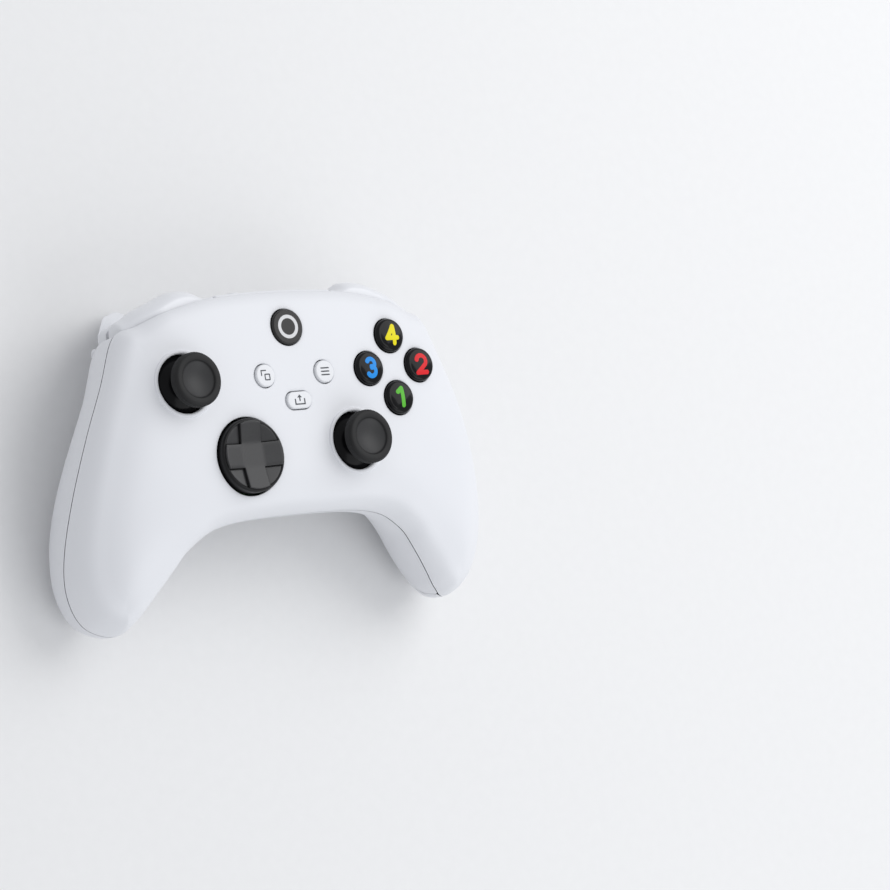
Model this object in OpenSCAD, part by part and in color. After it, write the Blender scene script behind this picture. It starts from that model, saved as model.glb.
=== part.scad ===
// Wireless gamepad: two sticks, direction pad, four action buttons, bumpers and triggers.
// It lies face up. X runs to the player's right, Y towards the triggers, Z out of the face.
// Heights in the modules are measured from the face plane, and depths from the stick row.

/* [Body] */
// Widest span across both grips
body_w = 155; // [151:1:161]
// Reach of the grip tips in front of the stick row
grip_reach = 71.5; // [69:0.5:76]
// Reach of the triggers behind the stick row
back_reach = 29.3; // [28.8:0.1:30]
// Height of the face plane above the table
face_h = 43; // [43:0.25:45]
// Depth of the battery side below the face plane
body_depth = 38.5; // [38.5:0.25:41]
// Wall thickness of the shells
wall = 2.2; // [1.8:0.1:2.6]
// Depth of the side seam below the face plane
seam_depth = 9.5; // [8.5:0.25:11]
// Radius of the front rounding at the outer sides
front_round = 17; // [15:0.5:18]
// Radius of the front rounding along the back edge and the arch
front_edge_round = 11; // [9:0.5:12]
// Radius of the rear rounding of the grips
rear_round = 16; // [14:0.5:17]

/* [Controls] */
// Distance of the left stick from the middle
left_stick_x = 40.6; // [39.6:0.2:41.2]
// Distance of the left stick in front of the stick row
left_stick_y = 0.6; // [0:0.1:1]
// Distance of the right stick from the middle
right_stick_x = 19.6; // [19:0.2:20.6]
// Distance of the right stick in front of the stick row
right_stick_y = 22; // [21:0.25:22.5]
// Diameter of a stick's thumb cap
stick_cap_d = 16.5; // [15:0.25:16.75]
// Height of a stick's top above the face
stick_h = 8; // [7.75:0.25:10]
// Diameter of a stick opening
stick_hole_d = 20; // [19.8:0.1:20.6]
// Depth of the stick's pivot below the face
pivot_depth = 10; // [9.5:0.25:10.5]
// Distance of the direction pad from the middle
dpad_x = 21.1; // [20.5:0.25:22]
// Distance of the direction pad in front of the stick row
dpad_y = 24; // [23.5:0.25:25]
// Diameter of the direction pad
dpad_d = 22.7; // [21:0.1:23.5]
// Distance of the action buttons' middle from the pad's middle
action_x = 38.35; // [37.5:0.25:39.5]
// Distance of each action button from their middle
action_pitch = 9.86; // [9.5:0.1:10.4]
// Diameter of an action button
action_d = 10.6; // [9.6:0.1:11]
// Diameter of the home button
home_d = 11.1; // [10:0.1:12]
// Distance of the home button behind the stick row
home_y = 14.6; // [13.6:0.2:15.2]
// Diameter of the view and menu buttons
small_d = 7; // [6:0.1:7.6]
// Distance of the view and menu buttons from the middle
small_x = 11.2; // [10.6:0.1:12]
// Length of the share button
share_l = 9.2; // [8.2:0.2:10]
// Width of the share button
share_w = 5.3; // [4.6:0.1:5.8]
// Distance of the share button in front of the stick row
share_y = 8.25; // [7.75:0.25:8.75]
// Clearance around a button in its hole
button_gap = 0.3; // [0.25:0.05:0.45]

/* [Triggers and bumpers] */
// Inner end of a bumper from the middle
bumper_in = 22.5; // [21:0.5:24]
// Outer end of a bumper from the middle
bumper_out = 54.5; // [53:0.5:55.5]
// Underside of a bumper below the face
bumper_depth = 16; // [15:0.25:16.25]
// Inner side of a trigger from the middle
trigger_in = 31; // [30.4:0.2:32]
// Outer side of a trigger from the middle
trigger_out = 54.6; // [53:0.2:54.8]
// Diameter of a trigger pin
pin_d = 3; // [2.4:0.1:3.4]
// Clearance of a turning pin in its bore
pin_gap = 0.15; // [0.1:0.05:0.25]
// Wire diameter of a trigger spring
spring_wire = 0.8; // [0.6:0.1:0.9]

/* [Inside] */
// Thickness of a circuit board
board_t = 1.4; // [1:0.1:1.6]
// Depth of the main board's upper face below the face plane
board_depth = 16; // [15.5:0.25:16.25]
// Diameter of a battery cell
cell_d = 14.2; // [13.8:0.1:14.4]
// Length of a battery cell
cell_l = 50; // [48:0.5:50.5]
// Diameter of a rumble motor in a grip
motor_d = 14; // [12:0.25:14]
// Diameter of a motor behind a trigger
small_motor_d = 7; // [6:0.25:7]
// Diameter of the headset socket's bore
jack_d = 3.5; // [3:0.1:4]
// Diameter of a case screw's shank
screw_d = 2.2; // [1.8:0.1:2.4]
// Thickness of the battery door
door_t = 1.8; // [1.4:0.1:2]

/* [Hidden] */
$fn = 48;
shell_white = "#e8eaee";
control_black = "#26272b";
metal_grey = "#b9bcc2";
frame_grey = "#6d7076";
board_green = "#2f5b45";
// Common clearance between pieces that pass each other
gap = 0.3;
// A cut runs this far past the faces that it crosses
past = 1;
y_middle = (back_reach - grip_reach) / 2;
half_w = body_w / 2;

// Plan outline of the right half, from the middle to the grip tip.
// The outer chain follows the back edge and the side, the inner chain the arch between the grips.
// Its marks keep their shape when the width or the reach of the grips changes.
outer_marks = [
    [0, 26.3], [24, 25.4], [40, 22.3], [50, 18.9], [57.7, 15.8], [63.8, 2],
    [70, -13], [75, -30], [77.5, -46], [76.5, -58], [71.5, -67.5], [63, -71.5]];
inner_marks = [
    [0, -42], [12, -42.1], [22, -42.6], [29, -43.6], [34, -45.2], [38.5, -47.8],
    [42.5, -50.8], [46.3, -55.2], [50.3, -59.9], [54, -64.3], [57.6, -68.3], [63, -71.5]];
mark_half_w = max([for (m = outer_marks) m.x]);
mark_reach = -min([for (m = outer_marks) m.y]);
marks = len(outer_marks);
steps = 2;
rows = 13;

function sized(m) = [m.x * half_w / mark_half_w, m.y > 0 ? m.y : m.y * grip_reach / mark_reach];
function spline(a, b, c, d, t) =
    0.5 * (2 * b + (c - a) * t + (2 * a - 5 * b + 4 * c - d) * t * t + (3 * b - a - 3 * c + d) * t * t * t);
function before(own, i) = i > 0 ? own[i - 1] : [-own[1].x, own[1].y];
function after(own, other, i) = i < marks ? own[i] : other[marks - 2];
function chain(own, other) = [
    for (i = [0 : marks - 2]) for (k = [0 : steps - 1])
        spline(before(own, i), own[i], own[i + 1], after(own, other, i + 2), k / steps),
    own[marks - 1]];
outer_sized = [for (m = outer_marks) sized(m)];
inner_sized = [for (m = inner_marks) sized(m)];
outer_half = chain(outer_sized, inner_sized);
inner_half = chain(inner_sized, outer_sized);
cols = len(outer_half);
function flip(p) = [-p.x, p.y];
function both_sides(half) = concat([for (i = [cols - 1 : -1 : 1]) flip(half[i])], half);
outer_line = both_sides(outer_half);
inner_line = both_sides(inner_half);
span = len(outer_line);

// Distance of a plan point from the outline
function seg_dist(p, a, b) =
    let (ab = b - a, t = max(0, min(1, (p - a) * ab / (ab * ab)))) norm(p - a - t * ab);
function edge_dist(p) =
    let (q = [abs(p.x), p.y])
    min([for (i = [0 : cols - 2]) min(seg_dist(q, outer_half[i], outer_half[i + 1]),
                                      seg_dist(q, inner_half[i], inner_half[i + 1]))]);

// Heights of the skins over the plan
function smooth(t) = let (c = max(0, min(1, t))) c * c * (3 - 2 * c);
grip_dir = [0.75, -0.66];
bend_start = 35;
bend = 0.0046;
front_bend = 0.0036;
// The seam rises towards the back edge, where the bumpers lie under the front shell
lip_rise = 5.5;
lip_in = 40;
lip_out = 60;
lip_y = 14;
front_power = 2;
rear_power = 2.4;
arch_power = 2.1;
// Beside the battery side lie shallower shoulders, which run on into the grips
shoulder_depth = 31;
shoulder_in = 27;
shoulder_out = 45;
grip_from = 45;
grip_to = 85;
side_in = 40;
side_out = 55;
// The grips' undersides reach the table with their rounded middles
grip_extra = 0.24;
// The battery side is deepest on a ridge and falls away on both sides of it
ridge_y = 4;
ridge_fall = 14;
ridge_w = 25;
// The rear edge is tighter along the arch and at the back edge
arch_round = 9;
back_round = 4;
tight_in = 26;
tight_out = 40;
function along_grip(p) = [abs(p.x) * mark_half_w / half_w, p.y] * grip_dir;
function fall(p) = pow(max(0, along_grip(p) - bend_start), 2);
function lip(p) = lip_rise * (1 - smooth((abs(p.x) - lip_in) / (lip_out - lip_in))) * smooth(p.y / lip_y);
function seam_z(p) = -seam_depth - bend * fall(p) + lip(p);
function front_crest(p) = -front_bend * fall(p);
function ridge(y) = let (q = (y - ridge_y) / ridge_w) -body_depth + ridge_fall * q * q / (1 + q * q);
function between(v, low, high) = smooth((v - low) / (high - low));
function mix(a, b, m) = a + (b - a) * m;
function rear_crest(p) =
    let (g = between(along_grip(p), grip_from, grip_to), m = between(abs(p.x), shoulder_in, shoulder_out))
    mix(ridge(p.y), -mix(shoulder_depth, face_h + grip_extra, g), m);
function tight(p) = between(abs(p.x), tight_in, tight_out);
function rear_radius(p) = mix(mix(arch_round, back_round, smooth(p.y / lip_y)), rear_round, tight(p));
function front_radius(p) = mix(front_edge_round, front_round, between(abs(p.x), side_in, side_out));
function rounded(q, power) = let (c = max(0, min(1, q))) pow(1 - pow(1 - c, power), 1 / power);
function raised(p, inset, crest, radius, power) =
    let (s = seam_z(p)) s + (crest - s) * rounded((edge_dist(p) - inset) / (radius - inset), power);
function front_z(p, inset) = raised(p, inset, front_crest(p) - inset, front_radius(p), front_power);
function rear_z(p, inset) =
    raised(p, inset, rear_crest(p) + inset, rear_radius(p), mix(arch_power, rear_power, tight(p)));

// Outline drawn in by a wall, point for point
function inward(line, other, i) =
    i == 0 || i == span - 1 ? [0, 1]
    : let (d = line[i + 1] - line[i - 1], n = [-d.y, d.x] / norm(d), m = other[i] - line[i]) n * m > 0 ? n : -n;
function drawn_in(line, other, inset) = [for (i = [0 : span - 1]) line[i] + inset * inward(line, other, i)];

// Closed skin between an outer and an inner sheet, with one point at each grip tip
function vertex(c, r) = (c == 0 || c == span - 1 ? 0 : r) + c * rows;
function tri_ok(f) = f[0] != f[1] && f[1] != f[2] && f[0] != f[2];
function quad(a, b, c, d) = [for (f = [[a, b, c], [a, c, d]]) if (tri_ok(f)) f];
function flatten(l) = [for (a = l) for (b = a) b];
module skin(front) {
    in_outer = drawn_in(outer_line, inner_line, wall);
    in_inner = drawn_in(inner_line, outer_line, wall);
    function plan(o, i, c, r) = i[c] + (o[c] - i[c]) * (1 - cos(180 * r / (rows - 1))) / 2;
    function lifted(p, inset) = [p.x, p.y, front ? front_z(p, inset) : rear_z(p, inset)];
    sheet_out = [for (c = [0 : span - 1]) for (r = [0 : rows - 1]) lifted(plan(outer_line, inner_line, c, r), 0)];
    sheet_in = [for (c = [0 : span - 1]) for (r = [0 : rows - 1]) lifted(plan(in_outer, in_inner, c, r), wall)];
    shift = len(sheet_out);
    last = rows - 1;
    function v(c, r) = vertex(c, r);
    sheets = [for (c = [0 : span - 2]) for (r = [0 : last - 1])
        concat(quad(v(c, r), v(c, r + 1), v(c + 1, r + 1), v(c + 1, r)),
               quad(shift + v(c, r), shift + v(c + 1, r), shift + v(c + 1, r + 1), shift + v(c, r + 1)))];
    rims = [for (c = [0 : span - 2])
        concat(quad(v(c, 0), v(c + 1, 0), shift + v(c + 1, 0), shift + v(c, 0)),
               quad(v(c + 1, last), v(c, last), shift + v(c, last), shift + v(c + 1, last)))];
    faces = concat(flatten(sheets), flatten(rims));
    polyhedron(concat(sheet_out, sheet_in), front ? faces : [for (f = faces) [f[2], f[1], f[0]]]);
}

// Seam in plan between the rear shell and a grip panel, from under the trigger to the tip
panel_marks = [[43, 7.6], [45, -12], [49, -32], [53.5, -50], [58.5, -66], [61, -72.5]];
panel_slit = 0.12;
panel_far = 20;
module panel_plan(grow) {
    m = [for (p = panel_marks) sized(p)];
    polygon(concat([[m[0].x - grow, m[0].y + panel_far]], [for (p = m) [p.x - grow, p.y]],
                   [[m[5].x, m[5].y - panel_far], [half_w + panel_far, m[5].y - panel_far],
                    [half_w + panel_far, m[0].y + panel_far]]));
}
module panel_prism(grow) { translate([0, 0, -face_h - past]) linear_extrude(face_h + past) panel_plan(grow); }

// Frame of the whole pad: face heights and row depths are moved to the table and the middle
module placed() { translate([0, -y_middle, face_h]) children(); }
module each_side(side) { mirror([side < 0 ? 1 : 0, 0, 0]) children(); }

// Pieces placed by the layout of the face
left_stick = [-left_stick_x, -left_stick_y];
right_stick = [right_stick_x, -right_stick_y];
dpad_at = [-dpad_x, -dpad_y];
action_at = [action_x, 0];
action_hole = action_d + 2 * button_gap;
posts = [[22, 15], [42, -26]];
spacer_d = 7;
screw_head = 1.3;
head_d = 2 * screw_d;
post_d = 5.2;
post_bore = screw_d + 0.2;
button_rise = 2.2;
button_travel = 1.5;
small_rise = 0.8;
small_travel = 0.8;
flange = 0.9;
flange_t = 1;
// Depth of a flange's top, clear of the underside of the curved face
flange_top = wall + 1.6;
ring_w = 0.75;
ring_h = 0.4;
dpad_gap = 0.65;

// Inner levels, all as depths below the face plane
main_under = board_depth + board_t;
lower_top = main_under + 0.4;
lower_under = lower_top + board_t;
plate_top = lower_under + gap;
plate_t = 1.1;
plate_under = plate_top + plate_t;
cell_z = plate_under + 0.1 + cell_d / 2;
cell_ys = [cell_d / 2 + 4.1, 3.9 - cell_d / 2];
tray_y0 = cell_ys[1] - cell_d / 2 - 0.4;
tray_y1 = cell_ys[0] + cell_d / 2 + 0.4;
tray_wall = 0.8;
contact_t = 0.5;
contact_w = 8;
tray_x = cell_l / 2 + 0.4 + contact_t;

// Battery door, a bent sheet over the ridge that also closes the back edge
door_half = 26.5;
door_front = -20;
door_corner = 4;
door_back = back_y(0) - 0.05;
door_top = bumper_depth + 0.6;
door_steps = 16;
module door_plan(grow) {
    for (s = [-1, 1]) translate([s * (door_half - door_corner), door_front + door_corner]) circle(r = door_corner + grow);
    translate([-door_half - grow, door_front + door_corner]) square([2 * (door_half + grow), door_back + 3 * past - door_front]);
    translate([-door_half + door_corner, door_front - grow]) square([2 * (door_half - door_corner), 2 * door_corner]);
}
function door_y(k, inset) = door_front + (door_back - inset - door_front) * sin(90 * k / door_steps);
function door_edge(inset) = [
    for (k = [0 : door_steps]) let (y = door_y(k, inset), z = rear_z([0, y], inset)) if (z < -door_top - past) [y, z],
    [door_back - inset, -door_top]];
function backwards(l) = [for (k = [len(l) - 1 : -1 : 0]) l[k]];
module battery_door() {
    color(shell_white) placed() intersection() {
        translate([-door_half, 0, 0]) rotate([90, 0, 90]) linear_extrude(2 * door_half)
            polygon(concat(door_edge(0), backwards(door_edge(door_t))));
        translate([0, 0, -face_h]) linear_extrude(face_h) door_plan(0);
    }
}

// Shapes that repeat
module pill(l, w, h) {
    linear_extrude(h) {
        square([l - w, w], center = true);
        for (s = [-1, 1]) translate([s * (l - w) / 2, 0]) circle(d = w);
    }
}
module along_x(x0, x1, d) { translate([x0, 0, 0]) rotate([0, 90, 0]) cylinder(d = d, h = x1 - x0); }
module along_y(y0, y1, d) { translate([0, y0, 0]) rotate([-90, 0, 0]) cylinder(d = d, h = y1 - y0); }

action_turns = [-90, 0, 180, 90];
function action_centre(i) = action_at + action_pitch * [cos(action_turns[i]), sin(action_turns[i])];
home_at = [0, home_y];
share_at = [0, -share_y];
module through(p, d) { translate([p.x, p.y, -main_under]) cylinder(d = d, h = main_under + button_rise); }
module face_holes() {
    for (p = [left_stick, right_stick]) through(p, stick_hole_d);
    through(dpad_at, dpad_d + 2 * dpad_gap);
    for (i = [0 : 3]) through(action_centre(i), action_hole);
    through(home_at, home_d + 2 * button_gap);
    for (s = [-1, 1]) through([s * small_x, 0], small_d + 2 * button_gap);
    translate([share_at.x, share_at.y, -wall - past])
        pill(share_l + 2 * button_gap, share_w + 2 * button_gap, wall + 2 * past);
}
module front_shell() {
    color(shell_white) placed() difference() {
        union() {
            skin(true);
            for (p = [left_stick, right_stick]) translate([p.x, p.y, -wall / 2])
                cylinder(d = stick_hole_d + 2 * ring_w, h = wall / 2 + ring_h);
            for (s = [-1, 1]) for (p = posts) translate([s * p.x, p.y, -board_depth])
                cylinder(d = post_d, h = board_depth - wall / 2);
        }
        face_holes();
        for (s = [-1, 1]) for (p = posts) translate([s * p.x, p.y, -board_depth - past])
            cylinder(d = post_bore, h = board_depth + past - 2 * wall);
    }
}

// Rear shell with the battery opening, the trigger openings and the room for the bumpers
pocket_y = 8.5;
pocket_side = 0.8;
strip_y = 15;
slot_y = -29.5;
slot_l = 8;
slot_w = 1.4;
jack_depth = 19;
jack_collar = 7.2;
module trigger_room() {
    x0 = trigger_in - pocket_side;
    x1 = lug_out + lug_t + pocket_side;
    x2 = trigger_out + 1.8;
    translate([0, 0, -face_h - past]) linear_extrude(face_h + past - bumper_depth - gap)
        polygon([[x0, pocket_y], [x1, pocket_y], [x2, hub_back - 0.4], [x2, face_h], [x0, face_h]]);
}
module bumper_room() { translate([-half_w, strip_y, -bumper_depth - gap]) cube([2 * half_w, face_h, face_h]); }
module rear_shell() {
    color(shell_white) placed() difference() {
        skin(false);
        bumper_room();
        for (s = [-1, 1]) each_side(s) {
            trigger_room();
            panel_prism(panel_slit);
        }
        translate([0, 0, -face_h]) linear_extrude(face_h - bumper_depth) door_plan(gap);
        translate([0, slot_y, -face_h]) pill(slot_l, slot_w, face_h + ridge(slot_y) + wall / 2);
        translate([0, 0, -jack_depth]) along_y(-grip_reach, -grip_reach / 2 + past, jack_collar + 2 * gap);
    }
}
module grip_panel(side) {
    color(shell_white) placed() each_side(side) difference() {
        intersection() {
            skin(false);
            panel_prism(-panel_slit);
        }
        bumper_room();
        trigger_room();
    }
}
module left_grip_panel() { grip_panel(-1); }
module right_grip_panel() { grip_panel(1); }

// Back edge: bumper crest as set-backs from the back reach, at shares of the bumper's length
crest_marks = [3.8, 0.36, 0.36, 2.7, 5.2, 8.5];
crest_last = len(crest_marks) - 1;
function crest_mark(i) = crest_marks[max(0, min(crest_last, i))];
function crest(x) =
    let (q = crest_last * max(0, min(0.9999, (x - bumper_in) / (bumper_out - bumper_in))), i = floor(q))
    back_reach - spline(crest_mark(i - 1), crest_mark(i), crest_mark(i + 1), crest_mark(i + 2), q - i);

// Loft through closed sections that stand across X, each an even number of marks.
// The two halves of an end section run opposite each other, so its cap is a strip between them.
module loft(sections) {
    n = len(sections[0]);
    end = (len(sections) - 1) * n;
    sides = [for (i = [0 : n : end - n]) for (k = [0 : n - 1])
        let (a = i + k, b = i + (k + 1) % n) quad(a, b, b + n, a + n)];
    caps = [for (k = [0 : n / 2 - 2]) let (a = k, b = k + 1, c = n - 2 - k, d = n - 1 - k)
        concat(quad(d, c, b, a), quad(end + a, end + b, end + c, end + d))];
    polyhedron(flatten(sections), concat(flatten(sides), flatten(caps)));
}
bumper_w = [7, 4.4];
bumper_steps = 10;
function bumper_section(x, shrink) =
    let (y = crest(x) - shrink, t = seam_z([x, lip_y]) - gap - shrink, b = -bumper_depth + shrink, h = t - b,
         y0 = crest(x) - mix(bumper_w[0], bumper_w[1], (x - bumper_in) / (bumper_out - bumper_in)))
    [[x, y0, b], [x, y - 2.6, b], [x, y - 0.8, b + 0.14 * h], [x, y, b + 0.4 * h],
     [x, y - 0.5, b + 0.68 * h], [x, y - 1.7, b + 0.9 * h], [x, y - 3.4, t], [x, y0, t]];
module bumper(side) {
    xs = [for (k = [0 : bumper_steps]) bumper_in + (bumper_out - bumper_in) * k / bumper_steps];
    color(shell_white) placed() each_side(side)
        loft([for (k = [0 : bumper_steps]) bumper_section(xs[k], k == 0 || k == bumper_steps ? 0.4 : 0)]);
}
module left_bumper() { bumper(-1); }
module right_bumper() { bumper(1); }

cap_inner = 23;
cap_proud = 0.7;
cap_half = bumper_in - 0.6;
pair_x = -12.5;
pair_depth = 8.2;
pair_d = 4;
pair_rise = 0.4;
pair_travel = 0.5;
usb_depth = 11.6;
usb_l = 9.2;
usb_w = 3.5;
usb_wall = 0.4;
usb_inner = 18.6;
function back_y(x) = lookup(abs(x), [for (p = outer_half) [p.x, p.y]]);
cap_y = back_y(0) + cap_proud;
module usb_hole(grow) {
    translate([0, cap_inner - past, -usb_depth]) rotate([-90, 0, 0]) pill(usb_l + 2 * grow, usb_w + 2 * grow, wall * 4);
}
module top_cap() {
    n = 8;
    edge = [for (k = [0 : n]) let (x = cap_half - 2 * cap_half * k / n) [x, back_y(x) + cap_proud]];
    color(shell_white) placed() difference() {
        translate([0, 0, -bumper_depth])
            linear_extrude(bumper_depth + seam_z([0, lip_y]) - gap)
                polygon(concat([[-cap_half, cap_inner], [cap_half, cap_inner]], edge));
        usb_hole(gap);
        translate([pair_x, 0, -pair_depth]) along_y(cap_inner - past, cap_y + past, pair_d + 2 * button_gap);
    }
}
module usb_port() {
    riser = usb_depth + usb_w / 2 - usb_wall / 2;
    color(metal_grey) placed() {
        difference() {
            union() {
                translate([0, usb_inner, -usb_depth]) rotate([-90, 0, 0]) pill(usb_l, usb_w, cap_y - usb_inner);
                translate([-usb_l / 2, usb_inner, -board_depth]) cube([usb_l, 3, board_depth - riser]);
            }
            translate([0, usb_inner + past, -usb_depth]) rotate([-90, 0, 0])
                pill(usb_l - 2 * usb_wall, usb_w - 2 * usb_wall, cap_y);
        }
        translate([-3.2, usb_inner + past / 2, -usb_depth - 0.35]) cube([6.4, cap_y - usb_inner - 2 * past, 0.7]);
    }
}
module pair_button() {
    color(shell_white) placed() translate([pair_x, 0, -pair_depth])
        along_y(cap_inner - 1.5, cap_y + pair_rise, pair_d);
}

// Trigger: a curved blade that hangs from its pin. Each mark is depth, height and how far it
// follows the crest of the bumper above it.
pin_y = 13;
pin_depth = 20.5;
trigger_top = bumper_depth + 0.9;
trigger_marks = [
    [27, -trigger_top, 1], [27.8, -20, 1], [27, -25, 1], [26.4, -30, 1], [27, -35.5, 1],
    [28.6, -face_h + 5, 1], [30.2, -face_h + 2.2, 1], [30.5, -face_h + 1, 1], [29.4, -face_h, 1],
    [26, -face_h + 0.9, 0.9], [22, -face_h + 4.5, 0.7], [18, -35.5, 0.4], [15.5, -30, 0.2], [12.5, -25.5, 0],
    [10.2, -23.2, 0], [9.4, -20.5, 0], [10.6, -17.8, 0], [14, -trigger_top, 0]];
mark_reach_back = 30.5;
// The tip line rises from the nose at the inner side towards the outer side
tip_slope = 0.95;
// The trigger draws back less than the bumper towards the outer side
crest_ease = 0.25;
// Outer end of the pin's hub, and the slot beyond it that leaves room for the outer lug
hub_out = 46;
hub_back = 16.9;
slot_out = hub_out + 2;
// Beyond the slot the blade keeps this far behind the slanting edge of its opening
slant_gap = 1.3;
// Drum about the pin that fills the opening: a cone, with the outline of its front end
drum_r = [12.2, 7.4];
drum_out = 43;
drum_back = 18;
drum_lip = 28.6;
trigger_edge = 0.9;
trigger_end = 1.2;
trigger_steps = 8;
// Room for the spring: its length, its depth and how far back it reaches
spring_room = 5.6;
spring_floor = 26.5;
spring_back = 17.3;
coil_r = 2.7;
coil_turns = 3;
coil_pitch = 1.35;
coil_rings = 12;
wire_sides = 6;
function tip_share(x) = 1 - tip_slope * max(0, x - trigger_in - trigger_end) / (face_h - pin_depth);
function trigger_z(m, x) =
    m.y < -pin_depth && (m.z > 0 || x > hub_out + 1) ? mix(-pin_depth, m.y, tip_share(x)) : m.y;
function trigger_crest(x) = mix(crest(x), back_reach, crest_ease);
function trigger_section(x, shrink) = [
    for (m = trigger_marks)
        [x, m.x + m.z * (trigger_crest(x) - mark_reach_back - shrink),
         trigger_z(m, x) + (m.y < -face_h + 2 ? shrink : 0)]];
module at_pin() { translate([0, pin_y, -pin_depth]) children(); }
module drum() {
    x0 = trigger_in + trigger_end;
    front = pocket_y - gap;
    outline = [[front, -face_h], [front, -drum_lip], [front + 2, -spring_floor], [drum_back, -spring_floor], [drum_back, -face_h]];
    intersection() {
        at_pin() translate([x0, 0, 0]) rotate([0, 90, 0]) cylinder(r1 = drum_r[0], r2 = drum_r[1], h = drum_out - x0);
        translate([x0, 0, 0]) rotate([90, 0, 90]) linear_extrude(drum_out - x0) polygon(outline);
    }
}
module trigger(side) {
    w = trigger_out - trigger_in;
    xs = concat([trigger_in], [for (k = [0 : trigger_steps]) trigger_in + trigger_end + (w - 2 * trigger_end) * k / trigger_steps], [trigger_out]);
    last = len(xs) - 1;
    color(shell_white) placed() each_side(side) difference() {
        union() {
            loft([for (k = [0 : last]) trigger_section(xs[k], k == 0 || k == last ? trigger_edge : 0)]);
            drum();
        }
        at_pin() along_x(trigger_in - past, trigger_out + past, pin_d + 2 * pin_gap);
        translate([trigger_in - past, 0, -spring_floor]) cube([spring_room + past, spring_back, face_h]);
        slant = hub_out + gap + lug_t + pocket_side - pocket_y - slant_gap;
        translate([0, 0, -face_h]) linear_extrude(face_h)
            polygon([[hub_out, 0], [half_w, 0], [half_w, half_w - slant], [slot_out, slot_out - slant],
                     [slot_out, hub_back], [hub_out, hub_back]]);
    }
}
module left_trigger() { trigger(-1); }
module right_trigger() { trigger(1); }
lug_t = 1.3;
lug_in = trigger_in - gap - lug_t;
lug_out = hub_out + gap;
module trigger_pin(side) {
    color(metal_grey) placed() each_side(side) at_pin() along_x(lug_in, lug_out + lug_t, pin_d);
}
module left_trigger_pin() { trigger_pin(-1); }
module right_trigger_pin() { trigger_pin(1); }

// Torsion spring round the pin: one wire with a short straight leg at each end
leg = 2;
coil_start = trigger_in + 0.4;
coil_ends = coil_turns * coil_rings;
function coil_point(k) =
    let (a = 360 * k / coil_rings) [coil_start + spring_wire / 2 + coil_pitch * k / coil_rings, coil_r * cos(a), coil_r * sin(a)];
wire_path = concat(
    [coil_point(0) + [0, 0, -leg]], [for (k = [0 : coil_ends]) coil_point(k)], [coil_point(coil_ends) + [0, 0, leg]]);
function wire_ring(i) =
    let (n = len(wire_path), d = wire_path[min(n - 1, i + 1)] - wire_path[max(0, i - 1)], t = d / norm(d),
         u0 = cross(t, [1, 0, 0]), u = u0 / norm(u0), v = cross(t, u))
    [for (k = [0 : wire_sides - 1]) let (a = 360 * k / wire_sides) wire_path[i] + spring_wire / 2 * (cos(a) * u + sin(a) * v)];
coil_gap = min([for (k = [0 : coil_ends - coil_rings]) norm(coil_point(k + coil_rings) - coil_point(k))]) - spring_wire;
echo(least_gap_between_turns = coil_gap);
module trigger_spring(side) {
    color(metal_grey) placed() each_side(side) at_pin() loft([for (i = [0 : len(wire_path) - 1]) wire_ring(i)]);
}
module left_trigger_spring() { trigger_spring(-1); }
module right_trigger_spring() { trigger_spring(1); }

// Thumb sticks: a gimbal in a square base, and a cap with a round skirt about the pivot
stick_press = 0.6;
base_w = 14;
base_rise = 2.2;
base_floor = 1;
ring_out = 5.3;
ring_in = 4;
yoke_h = 2.6;
trunnion_d = 2;
axle_d = 1.8;
stem_d = 4.4;
stem_h = 11.5;
hub_r = 3.1;
base_bore = 12;
skirt_t = 1.2;
skirt_room = 0.65;
hole_under = pivot_depth - wall;
skirt_r = sqrt(pow(stick_hole_d / 2, 2) + hole_under * hole_under) - skirt_room;
skirt_angle = 78;
neck_r = 4.6;
sleeve_r = 4;
sleeve_z = 6;
stem_bore = stem_d / 2 + pin_gap;
arc_steps = 10;
function arc_point(r, a) = [r * sin(a), r * cos(a)];
function arc_between(r, a0, a1) = [for (k = [0 : arc_steps]) arc_point(r, a0 + (a1 - a0) * k / arc_steps)];
module at_pivot(p) { translate([p.x, p.y, -pivot_depth]) children(); }
module stick_base(p) {
    floor_z = pivot_depth - board_depth;
    color(metal_grey) placed() at_pivot(p) difference() {
        translate([-base_w / 2, -base_w / 2, floor_z]) cube([base_w, base_w, base_rise - floor_z]);
        translate([0, 0, floor_z + base_floor]) cylinder(d = base_bore, h = board_depth);
        along_x(-base_w, base_w, trunnion_d + 2 * pin_gap);
    }
}
module stick_yoke(p) {
    color(frame_grey) placed() at_pivot(p) difference() {
        union() {
            translate([0, 0, -yoke_h / 2]) cylinder(r = ring_out, h = yoke_h);
            along_x(-base_w / 2, base_w / 2, trunnion_d);
        }
        translate([0, 0, -yoke_h]) cylinder(r = ring_in, h = 2 * yoke_h);
        along_y(-base_w, base_w, axle_d + 2 * pin_gap);
    }
}
module stick_rocker(p) {
    color(frame_grey) placed() at_pivot(p) {
        sphere(r = hub_r);
        along_y(-ring_out + pin_gap, ring_out - pin_gap, axle_d);
        cylinder(d = stem_d, h = stem_h);
    }
}
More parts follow.
